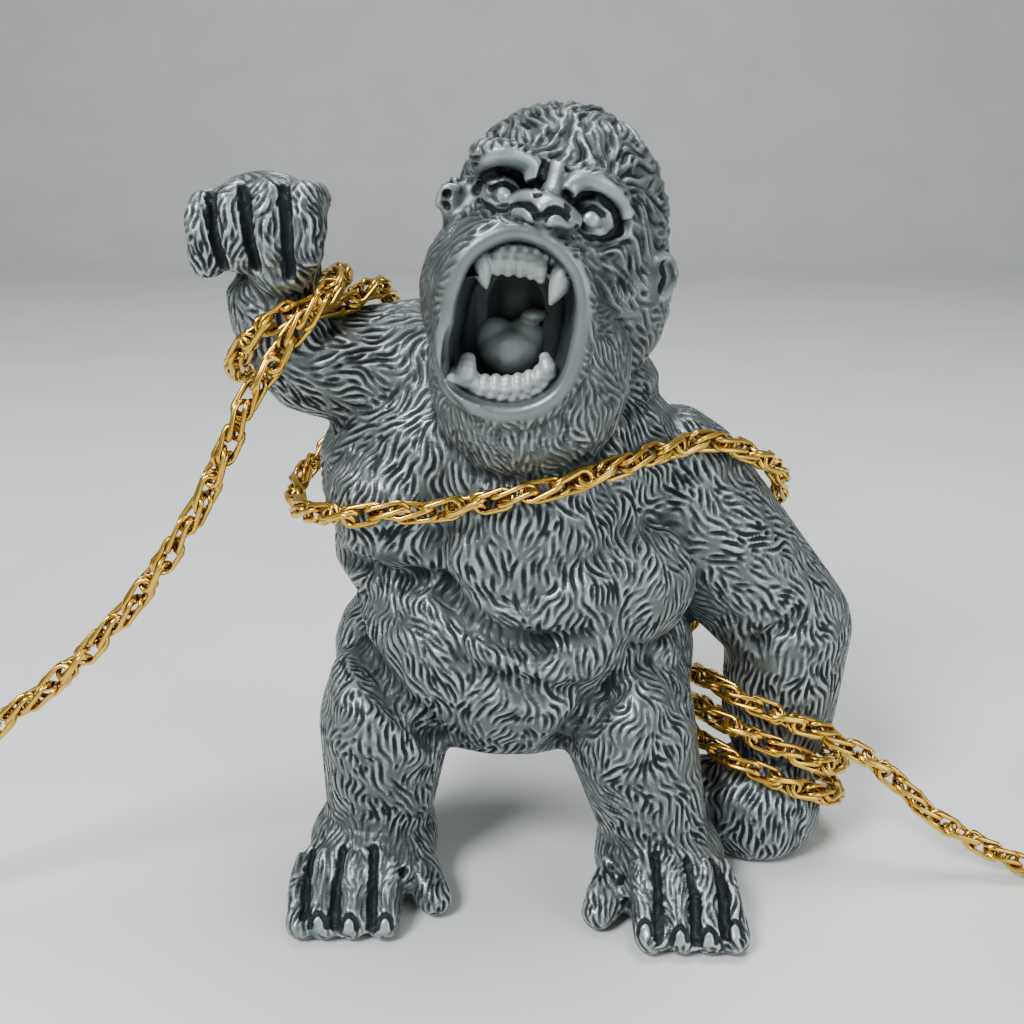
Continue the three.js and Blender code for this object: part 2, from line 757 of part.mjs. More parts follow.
function claspBody() {
  const outer = claspEye + claspWire;
  const hook = [
    ...arcPoints(claspReach, 0, outer, hookNoseAngle, hookHeelAngle, 16),
    ...arcPoints(claspReach, 0, claspEye, hookHeelAngle, hookNoseAngle, 12),
  ];
  const tail = tailHole + tailWall;
  const low = jumpRingHeight - tailThickness / 2;
  const high = jumpRingHeight + tailThickness / 2;
  const slotLow = claspMiddle - leverThickness / 2 - leverClearance;
  const slotHigh = claspMiddle + leverThickness / 2 + leverClearance;
  const front = claspReach - claspEye + blockLap;
  const throat = box(slotFront - 0.2, claspReach - blockLap, -blockHalfWidth - 1, throatHigh);
  return plate(box(blockBack, front, -blockHalfWidth, blockHalfWidth), claspBottom, claspTop)
    .subtract(plate(circle(claspReach, 0, claspEye, 24), claspBottom - 1, claspTop + 1))
    .add(plate(hook, claspBottom, claspTop))
    .add(plate(box(0, blockBack + blockLap, -tail * 0.9, tail * 0.9), low, high))
    .add(plate(circle(0, 0, tail, 16), low, high))
    .subtract(plate(circle(0, 0, tailHole, 12), low - 1, high + 1))
    .subtract(plate(box(slotBack, slotFront, -blockHalfWidth - 1, blockHalfWidth + 1), slotLow, slotHigh))
    .subtract(plate(throat, slotLow, slotHigh))
    .subtract(plate(circle(pivot.x, pivot.y, pinRadius + pinClearance, 12), claspBottom - 1, claspTop + 1));
}

function claspLever() {
  const low = claspMiddle - leverThickness / 2;
  const high = claspMiddle + leverThickness / 2;
  const tab = box(pivot.x - 0.6, pivot.x + 0.8, pivot.y, blockHalfWidth + 1.6);
  return plate(band(leverPath, leverHalfWidth), low, high)
    .add(plate(circle(pivot.x, pivot.y, leverHub, 16), low, high))
    .add(plate(tab, low, high))
    .subtract(plate(circle(pivot.x, pivot.y, pinRadius + pinClearance, 12), low - 1, high + 1));
}

const claspPin = () => plate(circle(pivot.x, pivot.y, pinRadius, 12), claspBottom, claspTop);

// The coil's inner end and its direction set where the ring and the clasp lie.
const leftEnd = mouthOf(leftCoilPlaces, false)[0];
const jumpTurn = THREE.MathUtils.degToRad(135);
const jumpAlong = at(Math.cos(jumpTurn), Math.sin(jumpTurn), 0);
const jumpNear = leftEnd.clone().add(at(-jumpRingWire, 0, 0));
const jumpCentre = jumpNear.clone().addScaledVector(jumpAlong, jumpRingRadius);
jumpCentre.z = jumpRingHeight;
const tailPlace = jumpNear.clone().addScaledVector(jumpAlong, 2 * jumpRingRadius);

function onClasp(solid) {
  return geometryOf(solid).rotateZ(Math.PI / 2).translate(tailPlace.x, tailPlace.y, 0);
}

function ring(radius, wire) {
  return new THREE.TorusGeometry(radius, wire, 6, 16);
}

const rightEnd = mouthOf(rightCoilPlaces, false)[0];
const endRingOutside = endRingRadius + endRingWire + chainGap;
const endRingCentre = rightEnd.clone().add(at(endRingOutside, endRingOutside, 0));
endRingCentre.z = endRingWire + claspBottom;

const figure = new THREE.Group();
const settled = [];
const ground = new THREE.BoxGeometry(groundSpread, groundSpread, groundDepth);
const underSole = solidOf(ground.translate(0, 0, padProud - groundDepth / 2));
for (const casting of castings) {
  let solid = joined(casting.shapes, 0).subtract(underSole);
  if (casting.hollow) solid = solid.subtract(casting.hollow(0)).add(casting.rim(0));
  for (const earlier of settled) solid = solid.subtract(earlier);
  settled.push(joined(casting.shapes, seam));
  for (const dowel of dowels) {
    if (dowel.joins.includes(casting.name)) solid = solid.subtract(dowel.shape(dowelClearance));
  }
  for (const pad of pads) {
    if (pad.under === casting.name) solid = solid.subtract(pad.shape(seam));
  }
  figure.add(mesh(casting.name, geometryOf(solid), casting.colour, 0.45, 0.2));
}
for (const dowel of dowels) {
  figure.add(mesh(dowel.name, geometryOf(dowel.shape(0)), 0xb9bcc0, 0.35, 1));
}
for (const pad of pads) {
  figure.add(mesh(pad.name, geometryOf(pad.shape(0)), 0x1b1c1e, 0.9, 0));
}

const jumpRing = ring(jumpRingRadius, jumpRingWire).rotateX(QUARTER).rotateZ(jumpTurn);
const fittings = [
  ["clasp_body", onClasp(claspBody())],
  ["clasp_lever", onClasp(claspLever())],
  ["clasp_pin", onClasp(claspPin())],
  ["clasp_ring", jumpRing.translate(...jumpCentre)],
  ["end_ring", ring(endRingRadius, endRingWire).translate(...endRingCentre)],
];
// The origin: the middle of the figure's own box, without the chain, on the ground.
const own = new THREE.Box3().setFromObject(figure, true);
const middle = own.getCenter(at(0, 0, 0));
for (const [name, geometry] of [...chainPieces, ...fittings]) figure.add(mesh(name, geometry, gold, 0.3, 1));
figure.position.set(-middle.x, -middle.y, 0);
figure.updateMatrixWorld(true);
const size = own.getSize(at(0, 0, 0));
console.log(`figure: ${size.toArray().map((side) => side.toFixed(2)).join(" x ")} mm`);
console.log(`moved to its origin by ${figure.position.x.toFixed(3)}, ${figure.position.y.toFixed(3)} mm`);

export default figure;
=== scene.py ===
# %% [markdown]
# # A roaring gorilla ornament with a gold rope chain
# The gorilla is a resin casting about 149 mm high. Its hair is carved into the clay master as short
# pointed grooves, and the paint is a near-black blue coat with silver brushed over the high places. A gold
# rope chain comes in from the left, is wound round the raised wrist, crosses the chest, is wound round the
# lowered wrist and leaves at the right. The model loaded here holds every casting as a plain solid in its
# true place. This lesson carves the fine surface over those solids, and lays real links along the chain's
# route.

# %% Load the solids and keep their box
import math

import bmesh
import bpy
import numpy as np
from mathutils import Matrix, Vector
from mathutils.bvhtree import BVHTree
from mathutils.kdtree import KDTree


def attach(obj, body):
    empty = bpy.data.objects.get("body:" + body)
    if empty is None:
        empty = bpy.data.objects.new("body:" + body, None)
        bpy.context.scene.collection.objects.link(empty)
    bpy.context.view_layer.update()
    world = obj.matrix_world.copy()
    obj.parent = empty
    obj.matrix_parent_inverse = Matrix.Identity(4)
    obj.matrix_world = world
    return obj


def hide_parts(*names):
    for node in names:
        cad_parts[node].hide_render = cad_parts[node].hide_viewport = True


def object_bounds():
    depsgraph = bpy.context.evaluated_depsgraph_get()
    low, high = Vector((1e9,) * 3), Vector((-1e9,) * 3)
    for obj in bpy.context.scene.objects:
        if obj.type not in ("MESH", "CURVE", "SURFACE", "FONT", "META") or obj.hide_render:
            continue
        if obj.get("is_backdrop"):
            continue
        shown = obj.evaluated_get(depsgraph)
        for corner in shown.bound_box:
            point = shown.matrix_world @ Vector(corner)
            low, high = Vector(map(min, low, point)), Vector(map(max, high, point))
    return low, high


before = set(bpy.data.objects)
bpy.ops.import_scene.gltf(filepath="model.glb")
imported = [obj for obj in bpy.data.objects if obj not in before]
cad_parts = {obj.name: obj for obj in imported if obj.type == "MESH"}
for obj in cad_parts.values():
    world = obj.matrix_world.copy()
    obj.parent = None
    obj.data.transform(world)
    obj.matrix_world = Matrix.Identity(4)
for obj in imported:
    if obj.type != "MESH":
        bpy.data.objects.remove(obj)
cad_low, cad_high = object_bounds()
MM = 0.001
ORIGIN = np.array((-7.049, 6.329, 0.0))


def place(x, y, z):
    """A place in millimetres, measured from the middle between the feet, as a place in the model."""
    return Vector((np.array((x, y, z)) + ORIGIN) * MM)


print("solids loaded:", len(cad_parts))

# %% [markdown]
# ## The camera
# The photograph looks slightly down at the figure from about 200 mm in front of it. The camera's place,
# tilt and lens later turn a place in the picture into a ray, which puts small features where they belong.

# %% Camera
PICTURE = 1024
FOCAL_PIXELS = 1109
SENSOR = 36
TILT = math.radians(18.4)
EYE = place(0, -205, 142)


def new_object(name, data):
    """An object at the origin, linked into the scene."""
    piece = bpy.data.objects.new(name, data)
    bpy.context.collection.objects.link(piece)
    return piece


camera_data = bpy.data.cameras.new("camera")
camera_data.sensor_width = SENSOR
camera_data.lens = SENSOR * FOCAL_PIXELS / PICTURE
camera_data.clip_start = 0.01
camera_data.clip_end = 10
camera = new_object("camera", camera_data)
camera.location = EYE
camera.rotation_euler = (math.pi / 2 - TILT, 0, 0)
bpy.context.scene.camera = camera


def sight(u, v):
    """The direction from the eye through a pixel of the picture."""
    across = (u - PICTURE / 2) / FOCAL_PIXELS
    up = (PICTURE / 2 - v) / FOCAL_PIXELS
    ahead = Vector((0, math.cos(TILT), -math.sin(TILT)))
    above = Vector((0, math.sin(TILT), math.cos(TILT)))
    return (ahead + above * up + Vector((1, 0, 0)) * across).normalized()


print("lens:", round(camera_data.lens, 1), "mm")

# %% [markdown]
# ## The chain's route
# A chain lies where its links let it, so its centre line is settled before any link is made. Places along
# the route are listed, and a curve that passes through all of them without overshooting, the
# centripetal Catmull-Rom spline, joins them. The two coils on the floor are spirals from a formula.

# %% Curves through chosen places
CHAIN = 4.4
COIL_RADIUS = 28.5
COIL_PITCH = 6
COIL_TURNS = 2
COIL_STEPS = 36


def smooth_line(points, count):
    """A centripetal Catmull-Rom line through the points, as count + 1 evenly spaced places."""
    p = np.array(points, float)
    p = np.vstack([2 * p[0] - p[1], p, 2 * p[-1] - p[-2]])
    gap = np.sqrt(np.linalg.norm(np.diff(p, axis=0), axis=1))
    knots = np.r_[0, np.cumsum(gap)]
    rows = []
    for i in range(1, len(p) - 2):
        k0, k1, k2, k3 = knots[i - 1:i + 3]
        s = np.linspace(k1, k2, 20, endpoint=i == len(p) - 3)[:, None]
        a1 = (k1 - s) / (k1 - k0) * p[i - 1] + (s - k0) / (k1 - k0) * p[i]
        a2 = (k2 - s) / (k2 - k1) * p[i] + (s - k1) / (k2 - k1) * p[i + 1]
        a3 = (k3 - s) / (k3 - k2) * p[i + 1] + (s - k2) / (k3 - k2) * p[i + 2]
        b1 = (k2 - s) / (k2 - k0) * a1 + (s - k0) / (k2 - k0) * a2
        b2 = (k3 - s) / (k3 - k1) * a2 + (s - k1) / (k3 - k1) * a3
        rows.append((k2 - s) / (k2 - k1) * b1 + (s - k1) / (k2 - k1) * b2)
    return evenly(np.vstack(rows), count)


def evenly(line, count):
    """The line again, as count + 1 evenly spaced places."""
    along = np.r_[0, np.cumsum(np.linalg.norm(np.diff(line, axis=0), axis=1))]
    steps = np.linspace(0, along[-1], count + 1)
    return np.column_stack([np.interp(steps, along, line[:, k]) for k in range(3)])


def length_of(line):
    """The length of a line through its places."""
    return float(np.linalg.norm(np.diff(line, axis=0), axis=1).sum())


def coil(centre, way):
    """A flat spiral inwards from its front place, ending in a straight stretch of one chain width."""
    rows = []
    for i in range(COIL_TURNS * COIL_STEPS + 1):
        turned = i / COIL_STEPS
        angle = math.radians(-90 + way * turned * 360)
        r = COIL_RADIUS - COIL_PITCH * turned
        rows.append((centre[0] + r * math.cos(angle), centre[1] + r * math.sin(angle), centre[2]))
    end = np.array(rows[-1])
    onwards = end - np.array(rows[-2])
    rows.append(end + onwards * CHAIN / np.linalg.norm(onwards))
    return np.array(rows)


# %% The route in its three stretches
left_coil = coil((-159, -1, 2.3), -1)
right_coil = coil((148, 7, 2.3), 1)

left_run = [
    (-138, -30, 2.8), (-125, -29, 11), (-110, -27, 26), (-93.6, -25, 41.1), (-83.9, -24, 48.5),
    (-74.1, -23, 57.2), (-64.4, -22, 68), (-56.7, -21.5, 78.5), (-50, -21, 90),
]
raised_winding = [
    (-44.2, -19.5, 101.8), (-42, -18.8, 104.4), (-39.2, -17.8, 108.2), (-35.9, -17, 112.5),
    (-32.6, -16, 116.4), (-30.7, -11.5, 118.6), (-30.3, -5.5, 119.7), (-31.9, 1.5, 119.1),
    (-35.6, 7.5, 116.4), (-41.1, 11, 111), (-46.4, 10.5, 104.4), (-49.9, 6.5, 100.5),
    (-50.9, 0.2, 101.2), (-49.1, -9, 105.3), (-44.5, -13.9, 110.2), (-40.2, -13.2, 113.4),
    (-36.4, -11.5, 114.7), (-32.9, -8.2, 114.8), (-29.5, -4, 114.8), (-26.9, 0, 116.3),
    (-24.9, 5.4, 116.4), (-24, 11, 114),
]
body_run = [
    (-24, 19.5, 108), (-25, 22.5, 101), (-28, 23.5, 93), (-34, 20.5, 86), (-40.5, 12, 80.5),
    (-42, 2, 78.4), (-40, -8, 77.6), (-36.5, -15.5, 79), (-33.2, -19.5, 80), (-29.6, -23, 80.7),
    (-21, -25, 81.9), (-12.4, -24.8, 82.4), (-5.4, -26.4, 84.1), (1.3, -28, 86), (8, -28.2, 87.8),
    (15, -25, 89), (22.4, -19.2, 90), (30.4, -12.3, 90.4), (36.5, -8.6, 90.3), (42.5, -5.5, 88),
    (48.8, -0.5, 84.2), (51.7, 3.2, 81.3), (53.6, 7.5, 78.3), (54.7, 11.5, 75), (54.6, 15.5, 71),
    (52.2, 21, 63), (46, 21.5, 55), (41.5, 20.5, 47), (38.5, 20.5, 38), (37.8, 19.5, 29),
    (38, 15.5, 23),
]
right_run = [
    (74.3, -9, 22.5), (80.2, -10.5, 17.3), (86.5, -12, 12.2), (94.8, -13, 7.2), (103.9, -14.5, 3.3),
    (115, -16.5, 2.3), (128, -18, 2.25),
]


def lowered_winding():
    """Turns round the lowered wrist, slanting down to the figure's left."""
    centre = np.array((53.2, 2.5, 15.7))
    across = np.array((0.883, 0, -0.469)) * 17.5
    front = np.array((0, -0.966, 0.259)) * 14.8
    climb = np.array((0.3, 0.2, 6.8))
    rows = []
    for degrees in np.linspace(-10, 845, 60):
        angle = math.radians(degrees)
        rows.append(centre - across * math.cos(angle) + front * math.sin(angle) + climb * degrees / 360)
    return rows


whole = [*left_coil[::-1][:-1], *left_run, *raised_winding, *body_run, *lowered_winding()]
whole += [*right_run, *right_coil]
route = smooth_line(whole, 2400)
print("chain length:", round(length_of(route)), "mm")

# %% [markdown]
# ## Links of gold wire
# The real chain is made of oval loops of wire about 1 mm thick. Two loops lie side by side, the next two
# pass through them a little less than a quarter turn round, and so the chain looks like a twisted rope.
# One loop is made, with few faces as it is repeated hundreds of times, and its copies are laid on frames
# that are carried along the route without spinning.

# %% One loop of wire
WIRE = 1.02
LOOP_LONG = 8.3
LOOP_WIDE = 4.3
PAIR_PITCH = 4.6
PAIR_TURN = math.radians(75)
PAIR_TWIST = math.radians(-36)
PAIR_SPLAY = math.radians(11)
PAIR_SHIFT = 0.3
PAIR_GAP = 0.55
WIRE_SIDES = 5
END_STEPS = 6


def loop_shape():
    """Ring centres, outward directions and faces of one oval loop of wire, long along Z."""
    half_wide = (LOOP_WIDE - WIRE) / 2
    half_long = (LOOP_LONG - WIRE) / 2
    centres = []
    outwards = []
    for end in (0, 1):
        for k in range(END_STEPS + 1):
            angle = math.pi * (end + k / END_STEPS)
            outward = np.array((math.cos(angle), 0, math.sin(angle)))
            shift = np.array((0, 0, half_long - half_wide)) * (1 - 2 * end)
            centres.append(outward * half_wide + shift)
            outwards.append(outward)
    points = []
    for centre, outward in zip(centres, outwards):
        for side in range(WIRE_SIDES):
            angle = 2 * math.pi * side / WIRE_SIDES
            spoke = outward * math.cos(angle) + np.array((0, 1, 0)) * math.sin(angle)
            points.append(centre + spoke * WIRE / 2)
    rings = len(centres)
    faces = []
    for ring in range(rings):
        for side in range(WIRE_SIDES):
            after = (ring + 1) % rings
            beside = (side + 1) % WIRE_SIDES
            corner = (ring, side), (after, side), (after, beside), (ring, beside)
            faces.append([r * WIRE_SIDES + s for r, s in corner])
    return np.array(points), np.array(faces)


loop_points, loop_faces = loop_shape()
print("faces of one loop:", len(loop_faces))


# %% Frames along the route
def frames_along(line):
    """Tangent, side and up directions at each place of a line, carried along without spinning."""
    tangents = np.gradient(line, axis=0)
    tangents /= np.linalg.norm(tangents, axis=1)[:, None]
    side = np.cross(tangents[0], (0, 0, 1))
    sides = []
    for tangent in tangents:
        side = side - tangent * np.dot(side, tangent)
        side = side / np.linalg.norm(side)
        sides.append(side)
    sides = np.array(sides)
    return tangents, sides, np.cross(tangents, sides)


def loops_on(line, frames, stations):
    """The loops of the pairs with these numbers, as points and faces in metres."""
    tangents, sides, ups = frames
    points = []
    faces = []
    for number in stations:
        at = min(int(round(number * PAIR_PITCH / route_step)), len(line) - 1)
        basis = np.array((sides[at], ups[at], tangents[at]))
        for beside in (-1, 1):
            turn = number * PAIR_TURN + PAIR_TWIST * loop_points[:, 2] / PAIR_PITCH
            turn = turn + beside * PAIR_SPLAY
            x = loop_points[:, 0]
            y = loop_points[:, 1] + beside * WIRE * PAIR_GAP
            local = np.column_stack([
                x * np.cos(turn) - y * np.sin(turn),
                x * np.sin(turn) + y * np.cos(turn),
                loop_points[:, 2] + beside * PAIR_SHIFT,
            ])
            faces.append(loop_faces + len(points) * len(loop_points))
            points.append((line[at] + local @ basis + ORIGIN) * MM)
    points = np.vstack(points)
    points[:, 2] = np.maximum(points[:, 2], 0)
    return points, np.vstack(faces)


route_frames = frames_along(route)
route_step = length_of(route) / (len(route) - 1)
pair_count = int((length_of(route) - LOOP_LONG) / PAIR_PITCH)
print("pairs of loops:", pair_count)


# %% [markdown]
# ## The three chains
# On the object the chain is one piece. It is cut here where it is held on the wrists, into the end on
# each side and the part that is wound on the body. The length of each is printed.

# %% The three chains
def mesh_object(name, points, faces):
    """A smooth shaded object from arrays of points and faces."""
    mesh = bpy.data.meshes.new(name)
    mesh.from_pydata(points.tolist(), [], faces.tolist())
    mesh.shade_smooth()
    return new_object(name, mesh)


def nearest_row(line, point):
    """The number of the line's place that is nearest to a point."""
    return int(np.argmin(np.linalg.norm(line - np.array(point), axis=1)))


def chain_piece(name, first_row, last_row):
    """The loops of one stretch of the route, with its centre line and length."""
    first = math.ceil(first_row * route_step / PAIR_PITCH)
    last = math.ceil(last_row * route_step / PAIR_PITCH)
    piece = mesh_object(name, *loops_on(route, route_frames, range(first, last)))
    line = route[first_row:last_row + 1]
    print(name, round(length_of(line)), "mm long,", last - first, "pairs")
    return piece, line


raised_row = nearest_row(route, raised_winding[0])
lowered_row = nearest_row(route, lowered_winding()[-1])
end_row = len(route) - 1
chain_left, left_line = chain_piece("chain_left", 0, raised_row)
chain_body, body_line = chain_piece("chain_body", raised_row, lowered_row)
chain_right, right_line = chain_piece("chain_right", lowered_row, end_row - int(LOOP_LONG / route_step))


def declare_chain(piece, nodes):
    """Attach a stretch of chain to the figurine, and hide these solids in its place."""
    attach(piece, "figurine")
    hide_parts(*nodes)


declare_chain(
    chain_left,
    ["chain_left_run", "chain_left_coil"],
)
declare_chain(
    chain_body,
    ["chain_raised_winding", "chain_body_run", "chain_lowered_winding"],
)
declare_chain(
    chain_right,
    ["chain_right_run", "chain_right_coil"],
)

# %% [markdown]
# ## One skin over all castings
# The real gorilla is cast from a clay master that was carved in one go, so its hair runs over the seams.
# Copies of the ten castings are swelled a little so that they overlap, and a voxel remesh melts them into
# one skin. Smoothing takes the flat facets out. The skin is cut back into its castings after carving.

# %% Sizes of the skin, and helpers for meshes
CASTINGS = [
    "torso", "head", "right_arm", "right_fist", "left_arm", "left_fist",
    "right_leg", "right_foot", "left_leg", "left_foot",
]
SWELL = 0.3
SEAM_SPACING = 1.2
MERGE = 0.000002
COARSE = 0.75
FINE = 0.32


def only(piece):
    """Make this the one selected and active object."""
    bpy.ops.object.select_all(action="DESELECT")
    piece.select_set(True)
    bpy.context.view_layer.objects.active = piece


def edit_all(piece, operator, **settings):
    """Use one edit mode operator on the whole mesh of a piece."""
    only(piece)
    bpy.ops.object.mode_set(mode="EDIT")
    bpy.ops.mesh.select_all(action="SELECT")
    operator(**settings)
    bpy.ops.object.mode_set(mode="OBJECT")


def apply_modifier(piece, kind, **settings):
    """Put a modifier on a piece and apply it at once."""
    only(piece)
    modifier = piece.modifiers.new(kind, kind)
    for key, value in settings.items():
        setattr(modifier, key, value)
    bpy.ops.object.modifier_apply(modifier=modifier.name)


def cad_copy(node, name):
    """A merged copy of a solid's mesh, as an object at the origin."""
    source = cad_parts[node]
    mesh = source.data.copy()
    mesh.transform(source.matrix_world)
    mesh.materials.clear()
    piece = new_object(name, mesh)
    edit_all(piece, bpy.ops.mesh.remove_doubles, threshold=MERGE)
    return piece


def corner_values(piece, kind):
    """The places ("co") or directions ("normal") of a piece's corners."""
    values = np.empty(len(piece.data.vertices) * 3)
    piece.data.vertices.foreach_get(kind, values)
    return values.reshape(-1, 3)


# %% Copies of the castings
def sprinkle(piece, spacing):
    """Places all over a piece's faces, about this far apart in millimetres."""
    corners = corner_values(piece, "co")
    places_on = []
    for face in piece.data.polygons:
        a, b, c = (corners[face.vertices[k]] for k in (0, 1, 2))
        steps = max(int(max(np.linalg.norm(b - a), np.linalg.norm(c - a)) / MM / spacing), 1)
        for i in range(steps + 1):
            for j in range(steps + 1 - i):
                places_on.append(a + (b - a) * i / steps + (c - a) * j / steps)
    return places_on


copies = []
seam_points = []
for node in CASTINGS:
    copy = cad_copy(node, "clay_" + node)
    apply_modifier(copy, "TRIANGULATE")
    seam_points.append(sprinkle(copy, SEAM_SPACING))
    apply_modifier(copy, "DISPLACE", strength=SWELL * MM, mid_level=0)
    copies.append(copy)


# %% One coarse skin
def join(pieces, name):
    """One object made of all these pieces."""
    only(pieces[0])
    for piece in pieces[1:]:
        piece.select_set(True)
    bpy.ops.object.join()
    pieces[0].name = name
    return pieces[0]


def set_corners(piece, points):
    """Move a piece's corners to these places."""
    piece.data.vertices.foreach_set("co", points.ravel())
    piece.data.update()


skin = join(copies, "skin")
apply_modifier(skin, "REMESH", mode="VOXEL", voxel_size=COARSE * MM, adaptivity=0)
apply_modifier(skin, "SMOOTH", factor=0.5, iterations=10)
print("coarse skin:", len(skin.data.polygons), "faces")

# %% [markdown]
# ## Carving from the picture's view
# A carver works from the view that matters most. Each stroke is drawn over the picture's view of the
# figure, and every place of it is thrown on to the skin along the line of sight. A stroke then pushes the
# skin in or pulls it out along its own direction, most at its middle and fading to nothing at its radius.

# %% Brush strokes on the skin
PIXELS_PER_MM = 5.5


class Skin:
    """The skin's corners as arrays, with what is needed to push them about."""

    def __init__(self, piece):
        self.piece = piece
        self.dark = []
        self.refresh()

    def refresh(self):
        self.corners = corner_values(self.piece, "co")
        self.normals = corner_values(self.piece, "normal")
        self.tree = BVHTree.FromObject(self.piece, bpy.context.evaluated_depsgraph_get())
        if len(self.dark) != len(self.corners):
            self.dark = np.zeros(len(self.corners))

    def seen(self, u, v):
        """The place and direction of the skin behind a pixel of the picture."""
        hit, normal, index, distance = self.tree.ray_cast(EYE, sight(u, v))
        return hit, normal

    def line(self, pixels, step=0.4):
        """Places on the skin along a line drawn over the picture."""
        drawn = np.array([(u, v, 0) for u, v in pixels], float)
        if len(drawn) > 2:
            count = max(int(length_of(drawn) / PIXELS_PER_MM / step), 4)
            drawn = smooth_line(drawn, count)
        places = []
        for u, v in drawn[:, :2]:
            hit, normal = self.seen(u, v)
            if hit is not None:
                places.append(hit)
        return np.array(places)

    def push(self, places, radius, height, paint=0.0):
        """Move the skin near these places outwards by height, in millimetres, fading to the radius."""
        if not len(places):
            return
        reach = radius * MM
        low = places.min(axis=0) - reach
        high = places.max(axis=0) + reach
        near = np.nonzero(((self.corners > low) & (self.corners < high)).all(axis=1))[0]
        best = np.full(len(near), np.inf)
        for place_on in places:
            best = np.minimum(best, ((self.corners[near] - place_on) ** 2).sum(axis=1))
        share = np.clip(1 - best / reach ** 2, 0, 1) ** 2
        self.corners[near] += self.normals[near] * (share * height * MM)[:, None]
        # paint marks the place dark: the dark coat in carved creases, and painted shade round the eyes
        if paint:
            self.dark[near] = np.maximum(self.dark[near], np.sqrt(share) * paint)

    def keep(self):
        set_corners(self.piece, self.corners)
        self.refresh()


carving = Skin(skin)

# %% [markdown]
# ## Folds and rolls
# Under the hair the figure has a chest, a belly with rolls, and knees. Broad soft strokes do this, as a
# wide tool does in clay. It comes before the hair, which must follow these forms.

# %% Muscles, folds and rolls of the body
FOLDS = [
    # line over the picture, radius, height
    ([(346, 562), (370, 573), (393, 578), (420, 575)], 4.0, -1.3),
    ([(446, 584), (458, 602), (477, 621), (514, 637), (542, 641)], 4.5, -1.3),
    ([(462, 658), (477, 671), (514, 684), (562, 695), (582, 694)], 4.5, -1.0),
    ([(360, 640), (372, 668), (393, 699), (436, 740)], 4.5, -1.2),
    ([(611, 687), (587, 716), (557, 743)], 4.5, -1.1),
    ([(756, 644), (777, 634), (800, 620)], 3.6, -0.8),
    ([(437, 480), (440, 515), (442, 550)], 4.5, -0.7),
]
RISES = [
    ([(362, 545), (392, 556), (418, 555)], 6.5, 0.9),
    ([(462, 560), (482, 592), (510, 612), (545, 612), (580, 592)], 7.5, 1.4),
    ([(478, 648), (520, 663), (570, 669), (604, 648)], 6, 0.7),
    ([(345, 665), (352, 700), (362, 730)], 7, 0.9),
    ([(640, 700), (628, 735), (615, 770)], 7, 0.8),
]
CARVE_ROUNDS = 2
for turn in range(CARVE_ROUNDS):
    for pixels, radius, height in FOLDS + RISES:
        carving.push(carving.line(pixels), radius, height)
    carving.keep()
print("body strokes:", len(FOLDS + RISES))

# %% [markdown]
# ## The face, first in clay
# The face is what people look at first, so it is built up like a real clay master: a calm ground is laid,
# the sockets are pressed in, the open mouth is cut out, and brows, lids, eyeballs, nose, ears and the
# rolled lip are laid on as balls and ropes of clay. Their places are drawn over the picture's view.

# %% Places over the picture
def pixels_of(points):
    """Where points of the model fall in the picture."""
    away = points - np.array(EYE)
    ahead = away @ np.array((0, math.cos(TILT), -math.sin(TILT)))
    up = away @ np.array((0, math.sin(TILT), math.cos(TILT)))
    u = PICTURE / 2 + FOCAL_PIXELS * away[:, 0] / ahead
    v = PICTURE / 2 - FOCAL_PIXELS * up / ahead
    return u, v


def inside(u, v, outline):
    """Which picture places lie inside an outline, by counting the edges to their right."""
    odd = np.zeros(len(u), bool)
    for (u0, v0), (u1, v1) in zip(outline, outline[1:] + outline[:1]):
        if v0 == v1:
            continue
        odd ^= ((v0 > v) != (v1 > v)) & (u < (u1 - u0) * (v - v0) / (v1 - v0) + u0)
    return odd


# %% A ground calmed of its bumps
class Ground:
    """The distance from the eye to the skin over a window of the picture, calmed of its bumps.

    What lies inside the blank outline, or far behind, is filled in from what lies round it.
    """

    STEP = 3
    FAR_BEHIND = 14
    FILL_ROUNDS = 500

    def __init__(self, left, right, top, bottom, calming, blank=()):
        self.corner = (left, top)
        across = np.arange(left, right + 1, self.STEP)
        down = np.arange(top, bottom + 1, self.STEP)
        depth = np.full((len(down), len(across)), np.nan)
        for row, v in enumerate(down):
            for column, u in enumerate(across):
                hit, normal = carving.seen(u, v)
                if hit is not None:
                    depth[row, column] = (hit - EYE).length
        if blank:
            u, v = np.meshgrid(across, down)
            depth[inside(u.ravel(), v.ravel(), blank).reshape(depth.shape)] = np.nan
        depth[depth > np.nanmedian(depth) + self.FAR_BEHIND * MM] = np.nan
        unknown = np.isnan(depth)
        depth[unknown] = np.nanmedian(depth)
        for turn in range(self.FILL_ROUNDS):
            depth[unknown] = self.average(depth)[unknown]
        for turn in range(calming):
            depth = self.average(depth)
        self.depth = depth

    @staticmethod
    def average(depth):
        wide = np.pad(depth, 1, mode="edge")
        return (wide[:-2, 1:-1] + wide[2:, 1:-1] + wide[1:-1, :-2] + wide[1:-1, 2:]) / 4

    def at(self, u, v):
        """The distance at a pixel, or at many."""
        rows, columns = self.depth.shape
        x = np.clip((np.asarray(u, float) - self.corner[0]) / self.STEP, 0, columns - 1.001)
        y = np.clip((np.asarray(v, float) - self.corner[1]) / self.STEP, 0, rows - 1.001)
        i, j = y.astype(int), x.astype(int)
        x, y = x - j, y - i
        upper = self.depth[i, j] * (1 - x) + self.depth[i, j + 1] * x
        lower = self.depth[i + 1, j] * (1 - x) + self.depth[i + 1, j + 1] * x
        return upper * (1 - y) + lower * y


def on_ground(ground, u, v, lift=0.0):
    """The place behind a pixel, lifted off the calm ground towards the eye, in millimetres."""
    return EYE + sight(u, v) * (float(ground.at(u, v)) - lift * MM)


